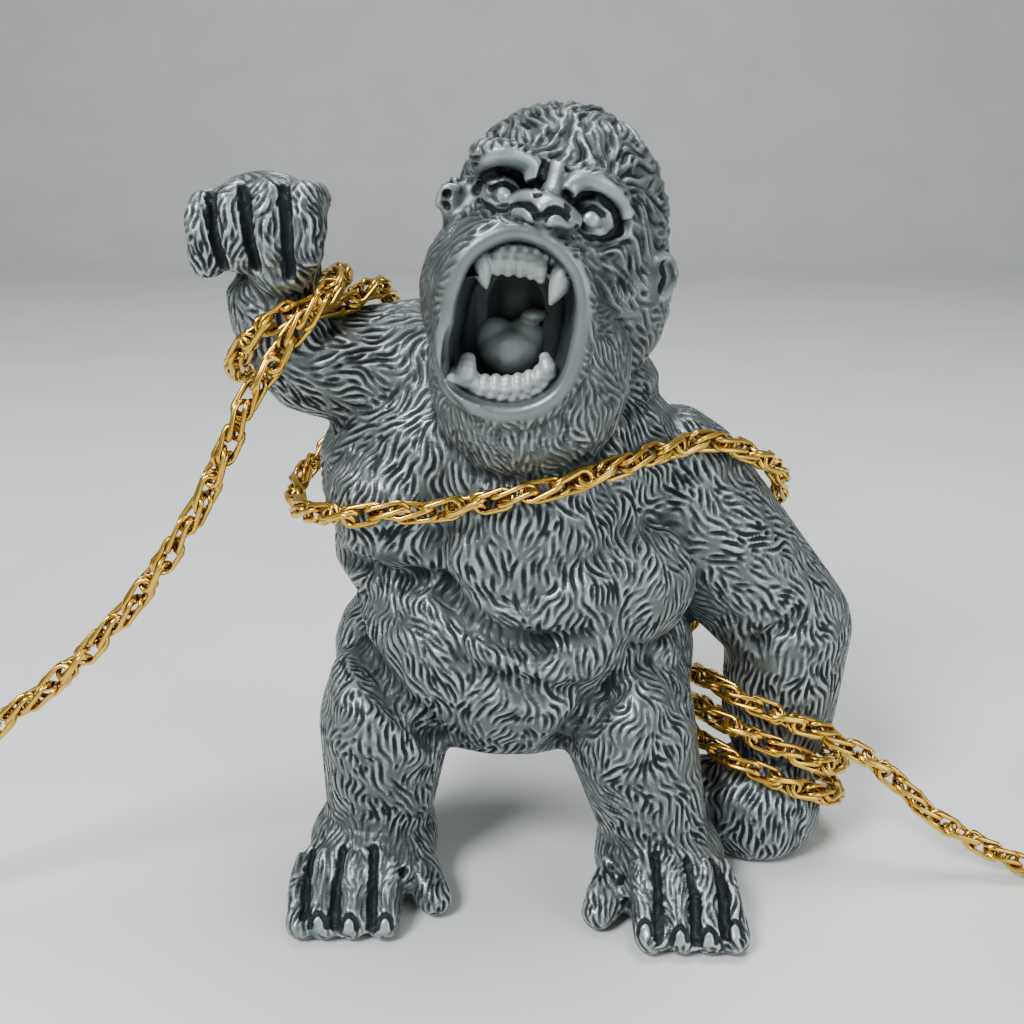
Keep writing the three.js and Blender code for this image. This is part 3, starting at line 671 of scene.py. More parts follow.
def drawn_line(pixels, count):
    """A smooth line over the picture through these pixels."""
    return [tuple(pixel[:2]) for pixel in smooth_line([(u, v, 0) for u, v in pixels], count)]


# %% A calm ground between brows and nose
FACE_MIDDLE = (552, 194)
FACE_SLOPE = math.radians(23)
FACE_REACH = (88, 48)


def face_share(u, v):
    """1 on the upper face, fading to 0 at its edge."""
    across = (u - FACE_MIDDLE[0]) * math.cos(FACE_SLOPE) + (v - FACE_MIDDLE[1]) * math.sin(FACE_SLOPE)
    down = (v - FACE_MIDDLE[1]) * math.cos(FACE_SLOPE) - (u - FACE_MIDDLE[0]) * math.sin(FACE_SLOPE)
    return np.clip((1 - (across / FACE_REACH[0]) ** 2 - (down / FACE_REACH[1]) ** 2) * 2.5, 0, 1)


brow_ground = Ground(464, 644, 140, 250, 40)
away = carving.corners - np.array(EYE)
distance = np.linalg.norm(away, axis=1)
u, v = pixels_of(carving.corners)
wanted = brow_ground.at(u, v)
share = np.where(np.abs(distance - wanted) < 6 * MM, face_share(u, v), 0)
carving.corners = np.array(EYE) + away * (1 + share * (wanted / distance - 1))[:, None]
carving.keep()
SOCKETS = [
    [(484, 190), (500, 186), (517, 191)],
    [(577, 210), (592, 208), (607, 222)],
]
for turn in range(CARVE_ROUNDS):
    for pixels in SOCKETS:
        carving.push(carving.line(pixels), 4.6, -1.5)
    carving.keep()

# %% [markdown]
# ## The open mouth
# The mouth is a deep hole with a thick rolled lip. A cutter is lofted through rings that shrink with
# depth, and taken out of the skin; a hollow made by pushing corners in would stretch the faces too far.

# %% The open mouth
LIP_CREST = [
    (446, 320), (449, 300), (455, 280), (463, 262), (474, 249), (487, 240), (500, 234), (515, 231),
    (530, 233), (545, 239), (558, 248), (570, 261), (579, 276), (583, 292), (584, 306), (582, 325),
    (578, 345), (571, 372), (560, 392), (543, 405), (522, 412), (500, 413), (478, 408), (459, 398),
    (447, 382), (441, 362), (441, 341),
]
MOUTH_MIDDLE = np.array((512, 322))
LIP_STEPS = 72
lip_line = drawn_line(LIP_CREST + LIP_CREST[:1], LIP_STEPS + 1)[:LIP_STEPS]


def round_mouth(share):
    """A line round the mouth: the lip's crest, drawn in or out by a share."""
    return [tuple(MOUTH_MIDDLE + (np.array(pixel) - MOUTH_MIDDLE) * share) for pixel in lip_line]


lip_ground = Ground(420, 606, 206, 440, 6, round_mouth(1.02))


def ring_loft(rings, closed):
    """Corners and faces of rings round the mouth, each a share of the lip's outline and a lift."""
    corners = []
    for share, lift in rings:
        for u, v in round_mouth(share):
            corners.append(tuple(on_ground(lip_ground, u, v, lift)))
    faces = []
    for ring in range(len(rings) if closed else len(rings) - 1):
        here = ring * LIP_STEPS
        beyond = (ring + 1) % len(rings) * LIP_STEPS
        for k in range(LIP_STEPS):
            after = (k + 1) % LIP_STEPS
            faces.append((here + k, here + after, beyond + after, beyond + k))
    return corners, faces


def clay_from(name, corners, faces):
    """An object of these corners and faces, facing outwards."""
    mesh = bpy.data.meshes.new(name)
    mesh.from_pydata(corners, [], faces)
    clay = new_object(name, mesh)
    edit_all(clay, bpy.ops.mesh.normals_make_consistent, inside=False)
    return clay


# each ring: share of the crest's outline, lift off the ground
MOUTH_RINGS = [(1.04, 9), (0.96, 0.5), (0.9, -3), (0.85, -6), (0.72, -13)]
corners, faces = ring_loft(MOUTH_RINGS, False)
last_ring = (len(MOUTH_RINGS) - 1) * LIP_STEPS
caps = [tuple(range(LIP_STEPS)), tuple(range(last_ring, last_ring + LIP_STEPS))]
cutter = clay_from("mouth_cutter", corners, faces + caps)
apply_modifier(skin, "BOOLEAN", operation="DIFFERENCE", solver="MANIFOLD", object=cutter)
bpy.data.objects.remove(cutter)
carving.refresh()
print("skin with the mouth cut out:", len(skin.data.polygons), "faces")

# %% [markdown]
# ## Features in clay
# Brows, lids, nose and lip are rolls and balls that a sculptor presses on. A rope is a curve with a round
# section, made into a mesh so that the remesh can melt it into the skin.

# %% Balls and ropes of clay
def ball(where, radius, stretch=(1, 1, 1), turn=(0, 0, 0)):
    """A ball of clay at a place of the model."""
    bpy.ops.mesh.primitive_uv_sphere_add(
        segments=20, ring_count=12, radius=radius * MM, location=where, rotation=turn,
    )
    clay = bpy.context.object
    clay.scale = stretch
    bpy.ops.object.transform_apply(location=True, rotation=True, scale=True)
    return clay


def spot(u, v, y):
    """The place behind a pixel of the picture at a chosen depth, given in millimetres."""
    direction = sight(u, v)
    return EYE + direction * ((place(0, y, 0).y - EYE.y) / direction.y)


def on_ball(u, v, centre, radius):
    """Where the sight line of a pixel meets a ball, or comes nearest to it."""
    direction = sight(u, v)
    along = (centre - EYE).dot(direction)
    miss = (EYE + direction * along - centre).length
    reach = radius * MM
    if miss < reach:
        along -= math.sqrt(reach ** 2 - miss ** 2)
    return EYE + direction * along


def rope(places_on, radius, closed=False):
    """A rope of clay through these places, thinner towards both ends unless it is closed."""
    curve = bpy.data.curves.new("rope", "CURVE")
    curve.dimensions = "3D"
    curve.bevel_depth = radius * MM
    curve.bevel_resolution = 3
    curve.use_fill_caps = True
    spline = curve.splines.new("POLY")
    spline.points.add(len(places_on) - 1)
    for k, where in enumerate(places_on):
        spline.points[k].co = (*where, 1)
        if not closed:
            spline.points[k].radius = 0.65 + 0.35 * math.sin(math.pi * (k + 0.5) / len(places_on)) ** 0.6
    spline.use_cyclic_u = closed
    only(new_object("rope", curve))
    bpy.ops.object.convert(target="MESH")
    return bpy.context.object


# %% The wall of the muzzle
# section of the wall: outwards and back, then forwards along the inside
MUZZLE_WALL = [
    (1.0, -0.3), (1.06, -0.9), (1.1, -2.4), (1.115, -5), (1.12, -9), (1.1, -13),
    (0.8, -13), (0.84, -8), (0.88, -5), (0.92, -2.6), (0.96, -0.9),
]
FLANK_LUMP = (650, 652, -10)
clay = [skin, ball(spot(*FLANK_LUMP), 6)]
clay.append(clay_from("muzzle_wall", *ring_loft(MUZZLE_WALL, True)))
print("rings of the muzzle's wall:", len(MUZZLE_WALL))

# %% Brows, bridge and nose
CLAY_ROPES = [
    # line over the picture, radius, lift off the ground: brows, bridge, rims over the nostrils
    ([(478, 172), (483, 160), (494, 154), (508, 153), (522, 158), (532, 167), (534, 182)], 2.0, -0.2),
    ([(567, 193), (573, 184), (584, 179), (598, 182), (612, 190), (623, 202), (627, 218)], 2.0, -0.2),
    ([(558, 164), (556, 178), (550, 197)], 1.9, -0.5),
    ([(511, 209), (524, 204), (540, 207), (556, 213), (573, 223)], 2.2, 0.6),
    ([(514, 213), (526, 213), (536, 218)], 1.1, 1.6),
    ([(545, 221), (556, 220), (568, 225)], 1.1, 1.6),
]
# each rope is laid three times, one behind the other, so that it grows out of the face
BACKING = (0, 2.4, 4.8)
BACK_SWELL = 0.04
ROPE_STEPS = 16
NOSE_TIP = (541, 212)
for pixels, radius, lift in CLAY_ROPES:
    for back in BACKING:
        places_on = [on_ground(brow_ground, u, v, lift - back) for u, v in drawn_line(pixels, ROPE_STEPS)]
        clay.append(rope(places_on, radius * (1 + BACK_SWELL * back)))
clay.append(ball(on_ground(brow_ground, *NOSE_TIP, 0.6), 2.0))
print("ropes on the face:", len(CLAY_ROPES) * len(BACKING))

# %% Eyeballs and lids
EYE_RADIUS = 1.9
EYE_LIFT = -1.5
LID_RADIUS = 3.1
LID_LIFT = -3.4
LID_STEPS = 14
EYES = [
    # eyeball, upper lid, lower lid
    ((504, 195), [(478, 192), (486, 185), (496, 180), (506, 179), (514, 183), (520, 194)],
     [(482, 197), (492, 204), (504, 206), (516, 202)]),
    ((591, 219), [(573, 213), (578, 205), (588, 202), (598, 204), (606, 212), (612, 226)],
     [(575, 222), (582, 230), (592, 233), (606, 232)]),
]
for eye, upper_lid, lower_lid in EYES:
    clay.append(ball(on_ground(brow_ground, *eye, EYE_LIFT), EYE_RADIUS))
    centre = on_ground(brow_ground, *eye, LID_LIFT)
    clay.append(ball(centre, LID_RADIUS, (1.3, 1, 1)))
    for lid, thick in ((upper_lid, 0.75), (lower_lid, 0.65)):
        lid_line = drawn_line(lid, LID_STEPS)
        clay.append(rope([on_ball(u, v, centre, LID_RADIUS + 0.25) for u, v in lid_line], thick))
print("eyes:", len(EYES))

# %% The rolled lip
LIP_RADIUS = 1.35
lip_limit = cad_low.y + (LIP_RADIUS + 0.15) * MM
lip_places = []
for u, v in lip_line:
    where = on_ground(lip_ground, u, v, -0.7)
    if where.y < lip_limit:
        where = EYE + sight(u, v) * ((lip_limit - EYE.y) / sight(u, v).y)
    lip_places.append(where)
clay.append(rope(lip_places, LIP_RADIUS, True))
print("places along the lip:", len(lip_places))

# %% Fingers and toes in clay
DIGITS = [
    # middle line over the picture, radius
    ([(305, 850), (298, 880), (294, 910)], 1.7),
    ([(328, 850), (322, 880), (318, 924)], 2.3),
    ([(356, 855), (353, 890), (350, 930)], 2.5),
    ([(391, 858), (388, 890), (386, 930)], 2.3),
    ([(413, 862), (427, 884), (437, 902)], 2.1),
    ([(612, 858), (601, 884), (591, 902)], 2.1),
    ([(640, 862), (643, 895), (645, 932)], 2.3),
    ([(670, 858), (674, 895), (680, 938)], 2.6),
    ([(702, 862), (706, 900), (709, 937)], 2.4),
    ([(722, 862), (731, 895), (735, 928)], 2.0),
    ([(196, 205), (198, 232), (208, 256)], 2.3),
    ([(228, 194), (230, 225), (237, 258)], 2.5),
    ([(264, 194), (266, 225), (271, 264)], 2.6),
    ([(304, 196), (306, 230), (310, 264)], 2.6),
]
SUNK_SHARE = 0.62
for pixels, radius in DIGITS:
    sunk = sight(*pixels[1]) * radius * SUNK_SHARE * MM
    buried = [Vector(where) + sunk for where in carving.line(pixels, 1.0)]
    clay.append(rope(buried, radius))
print("fingers and toes:", len(DIGITS))

# %% The rims of the ears
EAR_RIMS = [
    [(460, 190), (451, 187), (443, 192), (439, 204), (440, 216)],
    [(654, 260), (663, 255), (671, 262), (674, 276), (669, 290), (660, 300)],
]
for pixels in EAR_RIMS:
    rim = carving.line(pixels)
    if len(rim) > 2:
        clay.append(rope(rim, 0.9))
print("lumps of clay added:", len(clay) - 1)

# %% [markdown]
# ## The fine skin and its marks
# One finer remesh melts the lumps into the skin. Creases, nostrils, the gaps between fingers and toes, and
# the nails are then cut with narrow strokes, which also note that they are painted dark. Round the eyes this
# dark is painted shade in the sockets, over the eyeballs and under them.

# %% The fine skin
skin = join(clay, "skin")
carving.piece = skin
apply_modifier(skin, "REMESH", mode="VOXEL", voxel_size=FINE * MM, adaptivity=0)
apply_modifier(skin, "SMOOTH", factor=0.5, iterations=3)
carving.refresh()
print("fine skin:", len(skin.data.polygons), "faces")


# %% Marks of the face
FACE_MARKS = [
    # drawn line, radius, height: frown grooves and the crease over the nose
    ([(545, 162), (541, 178), (537, 194)], 1.0, -1.0),
    ([(568, 170), (564, 194)], 0.9, -0.8),
    # painted shade, carved a little and painted dark: sockets over the lids, gaps over the eyeballs, folds
    # under them
    ([(477, 190), (486, 177), (503, 170), (518, 175), (528, 190)], 1.2, -0.4),
    ([(568, 207), (577, 196), (590, 193), (604, 199), (614, 213), (619, 232)], 1.2, -0.4),
    ([(490, 189), (503, 184), (515, 190)], 0.7, -0.3),
    ([(582, 212), (592, 208), (603, 215)], 0.7, -0.3),
    ([(480, 200), (492, 208), (504, 210), (514, 206)], 0.7, -0.3),
    ([(576, 227), (586, 236), (600, 238), (614, 236)], 0.7, -0.3),
    # nostrils
    ([(517, 206), (526, 205), (533, 210), (538, 218)], 0.95, -0.9),
    ([(544, 218), (550, 211), (559, 210), (569, 217)], 0.95, -0.9),
    # the ears
    ([(663, 266), (665, 278), (661, 288)], 1.2, -1.0),
    ([(447, 194), (446, 206)], 1.1, -0.9),
]
for pixels, radius, height in FACE_MARKS:
    carving.push(carving.line(pixels, 0.25), radius, height, 1)
carving.keep()
print("marks of the face:", len(FACE_MARKS))

# %% Grooves between fingers and toes, and nails
GROOVES = [
    [(211, 188), (213, 218), (217, 243), (223, 264)],
    [(243, 186), (246, 215), (250, 243), (256, 268)],
    [(284, 188), (286, 220), (288, 250), (290, 276)],
    [(311, 852), (306, 880), (304, 914)],
    [(342, 850), (337, 880), (334, 926)],
    [(374, 848), (373, 890), (371, 930)],
    [(404, 872), (408, 900)],
    [(620, 880), (626, 904)],
    [(655, 856), (657, 890), (660, 940)],
    [(688, 860), (694, 890), (696, 944)],
    [(713, 862), (722, 890), (726, 936)],
]
NAILS = [(318, 922), (349, 924), (385, 924), (645, 929), (680, 936), (709, 938), (735, 930)]
for pixels in GROOVES:
    carving.push(carving.line(pixels, 0.25), 1.3, -1.3, 1)
carving.keep()
for u, v in NAILS:
    arch = [(u - 8, v + 5), (u - 6, v - 4), (u, v - 9), (u + 6, v - 4), (u + 8, v + 5)]
    carving.push(carving.line(arch, 0.2), 0.75, -0.5, 0.9)
carving.keep()
print("fingers and toes:", len(GROOVES), "grooves,", len(NAILS), "nails")

# %% [markdown]
# ## Hair
# Hair on a resin animal is thousands of short grooves, each shaped like a blade of grass, that follow the
# way the coat lies. Directions noted at chosen places are blended over the skin and disturbed a little.
# Grooves are then traced one by one along these directions: each starts where there is still room and ends
# where it comes close to another, so that they fit together as in a carved coat.

# %% The way the coat lies
COAT = [
    # place in millimetres, direction
    ((5, -18, 146), (0.1, 0.7, 0.5)),
    ((8, 0, 149), (0, 1, -0.1)),
    ((9, 16, 138), (0, 0.4, -1)),
    ((28, -4, 132), (0.1, 0.9, -0.2)),
    ((27, 2, 118), (0.1, 0.8, -0.5)),
    ((-11, -4, 132), (-0.1, 0.8, -0.5)),
    ((20, -18, 118), (0.7, 0.4, -0.4)),
    ((18, -18, 104), (0.5, 0.3, -0.8)),
    ((-16, -18, 118), (-0.7, 0.3, -0.5)),
    ((-16, -18, 106), (-0.4, 0.2, -0.9)),
    ((2, -30, 94), (0.2, 0.1, -1)),
    ((8, 18, 118), (0, 0.2, -1)),
    ((0, -24, 85), (0, 0, -1)),
    ((-20, -18, 90), (-0.3, 0, -1)),
    ((18, -20, 88), (0.25, 0, -1)),
    ((-38, 0, 75), (0.1, 0, -1)),
    ((0, -27, 66), (0.1, 0, -1)),
    ((0, -27, 50), (0, 0, -1)),
    ((-18, -20, 55), (0.4, 0, -1)),
    ((20, -20, 55), (-0.4, 0, -1)),
    ((28, 0, 95), (0.8, 0, -0.7)),
    ((-22, 0, 112), (-1, 0, -0.2)),
    ((0, 25, 100), (0, 0, -1)),
    ((0, 28, 50), (0, 0, -1)),
    ((-28, -10, 103), (-1, 0, 0.05)),
    ((-40, 0, 96), (-0.7, 0, 0.5)),
    ((-44, -8, 112), (-0.1, 0, 1)),
    ((-46, -8, 128), (0, -0.1, 1)),
    ((42, -10, 72), (0.9, 0, -0.5)),
    ((52, -8, 66), (0.8, 0, -0.6)),
    ((60, 0, 64), (0.5, 0, -0.9)),
    ((66, 2, 48), (-0.1, 0, -1)),
    ((60, -6, 36), (-0.2, 0, -1)),
    ((52, -8, 12), (-0.2, -0.4, -0.8)),
    ((-36, 0, 48), (-0.3, 0, -1)),
    ((-24, -22, 40), (-0.25, 0, -1)),
    ((-27, -22, 20), (0, 0, -1)),
    ((24, -24, 40), (0.2, 0, -1)),
    ((29, -24, 20), (0.15, 0, -1)),
    ((0, -5, 35), (0, 0.2, -1)),
    ((-27, -26, 8), (0, -1, -0.4)),
    ((29, -30, 8), (0, -1, -0.4)),
]
print("directions noted by hand:", len(COAT))

# %% Directions over the whole skin
WANDER = math.radians(46)
rng = np.random.default_rng(7)


def soft_noise(points, size, seed):
    """A smooth random value between -1 and 1 at each point, with swells of about this size in millimetres."""
    waves = np.random.default_rng(seed)
    total = np.zeros(len(points))
    for k in range(8):
        direction = waves.normal(size=3)
        direction *= 2 * math.pi / (size * MM) / np.linalg.norm(direction) * waves.uniform(0.6, 1.5)
        total += np.sin(points @ direction + waves.uniform(0, 6.28))
    return np.clip(total / 4, -1, 1)


def coat_directions(points, normals):
    """The way the hair lies at each point, along the skin."""
    weight_sum = np.zeros(len(points))
    flow = np.zeros((len(points), 3))
    for where, direction in COAT:
        away = ((points - np.array(place(*where))) ** 2).sum(axis=1) / MM ** 2
        weight = 1 / (away + 9) ** 2
        flow += weight[:, None] * np.array(direction)
        weight_sum += weight
    flow /= weight_sum[:, None]
    flow -= normals * (flow * normals).sum(axis=1)[:, None]
    flow /= np.linalg.norm(flow, axis=1)[:, None] + 1e-9
    across = np.cross(normals, flow)
    turn = soft_noise(points, 14, 11) * WANDER + soft_noise(points, 5, 12) * WANDER * 0.7
    return flow * np.cos(turn)[:, None] + across * np.sin(turn)[:, None]


points = carving.corners
normals = carving.normals
flow = coat_directions(points, normals)
print("directions at", len(flow), "places")

# %% Averages over the skin
edge_ends = np.empty(len(skin.data.edges) * 2, np.int64)
skin.data.edges.foreach_get("vertices", edge_ends)
edge_ends = edge_ends.reshape(-1, 2)
edge_from = np.r_[edge_ends[:, 0], edge_ends[:, 1]]
edge_to = np.r_[edge_ends[:, 1], edge_ends[:, 0]]
neighbours = np.bincount(edge_from, minlength=len(points))


def relax(values, times):
    """Average a value with its neighbours' over and over."""
    for k in range(times):
        total = np.bincount(edge_from, weights=values[edge_to], minlength=len(values))
        values = (values + total) / (neighbours + 1)
    return values


# %% Where the skin is bare
FACE_OUTLINE = [
    (470, 198), (473, 178), (480, 158), (494, 147), (515, 147), (532, 154), (545, 157), (566, 163),
    (584, 171), (604, 174), (622, 188), (634, 208), (634, 236), (618, 242), (600, 240), (582, 236),
    (568, 236), (540, 228), (512, 222), (506, 208), (490, 207),
]
EAR_OUTLINES = [
    [(434, 184), (468, 182), (470, 200), (456, 218), (432, 222)],
    [(650, 256), (664, 248), (680, 262), (680, 292), (664, 306), (650, 294)],
]
HEAD_FROM = 0.09
TOES_TO = 0.02
SOLES_TO = 0.0012
MOUTH_DEPTH = 13
u, v = pixels_of(points)
towards = (normals * (np.array(EYE) - points)).sum(axis=1) > 0
front = points[:, 1] < place(0, -12, 0).y
high = points[:, 2] > HEAD_FROM
face = inside(u, v, FACE_OUTLINE) & front & high
lips = inside(u, v, round_mouth(1.09)) & front & high
ears = (inside(u, v, EAR_OUTLINES[0]) | inside(u, v, EAR_OUTLINES[1])) & towards & high
LIP_FRONT = place(0, -32, 0).y
in_mouth = inside(u, v, round_mouth(0.98)) & (points[:, 1] < place(0, -4, 0).y) & high
# painted shade inside the mouth: darker the further a place lies behind the lip's front
mouth_depth_shade = in_mouth * np.clip((points[:, 1] - LIP_FRONT) / (MOUTH_DEPTH * MM), 0, 1)
under = points[:, 2] < SOLES_TO
nails = np.zeros(len(points), bool)
for nail_u, nail_v in NAILS:
    nails |= ((u - nail_u) / 6.5) ** 2 + ((v - nail_v - 2) / 9) ** 2 < 1
nails &= (points[:, 2] < TOES_TO) & towards
bare = face | lips | ears | in_mouth | under | nails
print("bare share:", round(float(bare.mean()), 3))

# %% [markdown]
# ## Carving the grooves
# Every groove is cut into the mesh, as in the clay, so it also shows at the outline. Bare skin stays
# smooth, and longer, wider locks lie under the fine hair on the crown.

# %% Grooves of the coat
SPACING = 1.05
STOP = 0.74
STROKE_STEP = 0.3
GROOVE_HALF = 0.5
GROOVE_DEPTH = 0.55
LOCK_DEPTH = 0.6
LOCK_SIZE = 2.3
CROWN_REACH = 27
CROWN_FROM = 0.112
ABOVE_FLOOR = 0.0003
FEWEST_STEPS = 5

# %% Where the hair is finer
FINE_HAIR = [
    # place, radius and size of the hair there: face and beard, feet, knuckles
    ((0, -26, 108), 26, 0.72),
    ((-27, -28, 5), 15, 0.7),
    ((29, -30, 5), 15, 0.7),
    ((-44, -6, 128), 18, 0.85),
]
fineness = np.ones(len(points))
for where, radius, size in FINE_HAIR:
    away = np.linalg.norm(points - np.array(place(*where)), axis=1) / (radius * MM)
    share = np.clip(2 - 2 * away, 0, 1)
    fineness = np.minimum(fineness, 1 + (size - 1) * share)
print("finest hair:", round(float(fineness.min()), 2))

# %% One groove
tree = KDTree(len(points))
for index, point in enumerate(points):
    tree.insert(point, index)
tree.balance()


def trace(start, sign, most, close):
    """Places along the coat from a start, until another groove is close."""
    steps = []
    at = points[start]
    index = start
    for k in range(most):
        at = at + flow[index] * sign * STROKE_STEP * MM
        found, index, away = tree.find(at)
        if close[index]:
            break
        at = np.array(found) * 0.5 + at * 0.5
        steps.append(at)
    return steps


def carve(line, size, depth, taken, close):
    """Press one blade-shaped groove along a line of places, and mark the room that it takes."""
    for k, at in enumerate(line):
        blade = math.sin(math.pi * ((k + 0.7) / (len(line) + 0.4)) ** 0.8) ** 0.7
        half = GROOVE_HALF * size * (0.45 + 0.55 * blade) * MM
        for corner, index, away in tree.find_range(at, half):
            press = blade * (1 - (away / half) ** 2)
            if press > depth[index]:
                depth[index] = press
    for at in line[::2]:
        for corner, index, away in tree.find_range(at, SPACING * size * MM):
            taken[index] = True
            if away < STOP * size * MM:
                close[index] = True


# %% Combing the skin
def comb(skip, sizes, shortest, longest):
    """Grooves all over the skin but for the corners to skip, as a depth from 0 to 1 at each corner."""
    taken = skip.copy()
    close = skip.copy()
    depth = np.zeros(len(points))
    count = 0
    for start in rng.permutation(len(points)):
        if taken[start]:
            continue
        size = sizes[start]
        most = int(rng.uniform(shortest, longest) * size)
        back = trace(start, -1, most, close)
        line = back[::-1] + [points[start]] + trace(start, 1, most, close)
        if len(line) < FEWEST_STEPS:
            taken[start] = True
            continue
        carve(line, size, depth, taken, close)
        count += 1
    print("grooves:", count)
    return depth


# %% Carve the coat
crown = ((points - np.array(place(10, 2, 132))) ** 2).sum(axis=1) < (CROWN_REACH * MM) ** 2
crown &= points[:, 2] >= CROWN_FROM
locks = comb(bare | ~crown, np.full(len(points), LOCK_SIZE), 8, 14)
depth = comb(bare, fineness, 8, 19)
depth *= (0.82 + 0.3 * soft_noise(points, 10, 21)) * fineness
furred = np.clip(1.5 - 1.5 * relax(bare.astype(float), 10), 0, 1)
depth *= furred
locks *= furred
carving.corners = points - normals * ((depth * GROOVE_DEPTH + locks * LOCK_DEPTH) * MM)[:, None]
low, high = np.array(cad_low), np.array(cad_high)
low[2] = ABOVE_FLOOR
carving.corners = np.clip(carving.corners, low, high)
set_corners(skin, carving.corners)

# %% [markdown]
# ## Notes for the paint
# The casting is dipped in near-black blue, then a nearly dry brush drags silver over it, which only
# reaches what stands proud. So the paint needs to know, at every place, how deep a groove is and whether the
# skin stands up in a ridge or sinks. For painted shade it also needs how deep a place lies in the broad folds
# and how far it lies inside the mouth. These are measured on the carved skin.

# %% Ridges, hollows, and painted shade in folds and in the mouth
def standing_proud(times):
    """How far each corner stands above the averaged skin round it, in millimetres."""
    middle = np.column_stack([relax(carving.corners[:, k], times) for k in range(3)])
    return ((carving.corners - middle) * normals).sum(axis=1) / MM


def store(name, values):
    """Keep a value for each corner of the skin, for the paint to read."""
    attribute = skin.data.attributes.new(name, "FLOAT", "POINT")
    attribute.data.foreach_set("value", np.ascontiguousarray(values, np.float32))


EYE_SHOWN = 1.15
ridge = np.clip(0.5 + standing_proud(3) * 6, 0, 1)
# painted shade in broad folds: darker where the skin lies below its wide average
broad_fold_shade = np.clip(relax(-standing_proud(60), 4) * 1.6, 0, 1)
head_share = np.clip((points[:, 2] - place(0, 0, 96).z) / (8 * MM), 0, 1)
head_share *= np.clip((points[:, 0] - place(-24, 0, 0).x) / (4 * MM), 0, 1)
# the groove note carries the dark coat of the grooves and marks, and the painted shade round the eyes
dark = np.maximum(depth * (1 - 0.3 * head_share) + locks * 0.35, carving.dark)
store("groove", relax(np.clip(dark, 0, 1), 1))
store("calm", head_share)
store("ridge", relax(ridge, 1))
store("broad_fold_shade", broad_fold_shade)
store("bare", relax(bare.astype(float), 2))
store("mouth_depth_shade", relax(mouth_depth_shade.astype(float), 3))
eyeballs = [carving.seen(*eye)[0] for eye, *lids in EYES]
away = np.min([((points - np.array(ball_at)) ** 2).sum(axis=1) for ball_at in eyeballs], axis=0)
crest = relax(np.clip(standing_proud(45) * 2.2, 0, 1.2), 3) * relax(bare.astype(float), 3) * (1 - mouth_depth_shade)
crest *= 1 - 0.55 * lips
store("crest", np.clip(crest, 0, 1))
store("eye", away < (EYE_SHOWN * MM) ** 2)
print("folds:", round(float(broad_fold_shade.mean()), 3), "ridges:", round(float(ridge.mean()), 3))

# %% [markdown]
# ## Back into castings
# The carved skin is cut along the seams of the castings, so that every casting is again a piece of its
# own. A place belongs to the casting whose solid is nearest. Every cut is closed with a fan of faces round
# a middle that lies inside the body, so that no cap shows beside the seam.

# %% Cut the skin at the seams
seam_tree = KDTree(sum(len(part) for part in seam_points))
for number, part in enumerate(seam_points):
    for point in part:
        seam_tree.insert(point, number)
seam_tree.balance()


def face_labels(piece):
    """The casting that each face of the skin belongs to, with ragged borders smoothed out."""
    labels = np.zeros(len(piece.data.vertices), int)
    for index, corner in enumerate(points):
        labels[index] = seam_tree.find(corner)[1]
    shares = np.column_stack([relax((labels == n).astype(float), 6) for n in range(len(CASTINGS))])
    labels = shares.argmax(axis=1)
    faces = np.empty(len(piece.data.polygons) * 4, np.int64)
    piece.data.polygons.foreach_get("vertices", faces)
    faces = faces.reshape(-1, 4)
    return faces, labels[faces].max(axis=1)


# %% One casting out of the skin
ATTRIBUTES = ["groove", "ridge", "broad_fold_shade", "bare", "mouth_depth_shade", "crest", "calm", "eye"]
MOST_FACES = 95000


def sunk_caps(piece, first):
    """Split each cap from this face on into a fan round its middle, which lies inside the body."""
    cut = bmesh.new()
    cut.from_mesh(piece.data)
    cut.faces.ensure_lookup_table()
    bmesh.ops.poke(cut, faces=cut.faces[first:], center_mode="MEAN")
    cut.to_mesh(piece.data)
    cut.free()


def cut_out(name, faces):
    """The part of the skin with these faces, closed where it was cut."""
    used, numbers = np.unique(faces, return_inverse=True)
    numbers = numbers.reshape(-1, 4)
    piece = mesh_object(name, carving.corners[used], numbers)
    for attribute_name in ATTRIBUTES:
        source = np.empty(len(skin.data.vertices), np.float32)
        skin.data.attributes[attribute_name].data.foreach_get("value", source)
        attribute = piece.data.attributes.new(attribute_name, "FLOAT", "POINT")
        attribute.data.foreach_set("value", np.ascontiguousarray(source[used]))
    open_count = len(piece.data.polygons)
    edit_all(piece, bpy.ops.mesh.fill_holes, sides=0)
    sunk_caps(piece, open_count)
    smooth_normals = corner_values(piece, "normal")
    smooth_normals[:len(used)] = skin_normals[used]
    corner_of = np.empty(len(piece.data.loops), np.int64)
    piece.data.loops.foreach_get("vertex_index", corner_of)
    directions = smooth_normals[corner_of]
    for face in piece.data.polygons[open_count:]:
        directions[list(face.loop_indices)] = face.normal
    piece.data.normals_split_custom_set(directions.tolist())
    print(name, len(piece.data.polygons), "faces,", len(piece.data.polygons) - open_count, "added")
    return piece


# %% The ten castings
def portions(faces):
    """The faces in halves across their widest extent, until no part has too many."""
    if len(faces) <= MOST_FACES:
        return [faces]
    centres = carving.corners[faces].mean(axis=1)
    axis = int(np.argmax(np.ptp(centres, axis=0)))
    first = centres[:, axis] < np.median(centres[:, axis])
    return portions(faces[first]) + portions(faces[~first])


skin_faces, skin_labels = face_labels(skin)
skin_normals = corner_values(skin, "normal")
carved = []
for number, node in enumerate(CASTINGS):
    for part, faces in enumerate(portions(skin_faces[skin_labels == number])):
        piece = cut_out(f"carved_{node}_{part + 1}", faces)
        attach(piece, "figurine")
        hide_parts(node)
        carved.append(piece)
bpy.data.objects.remove(skin)

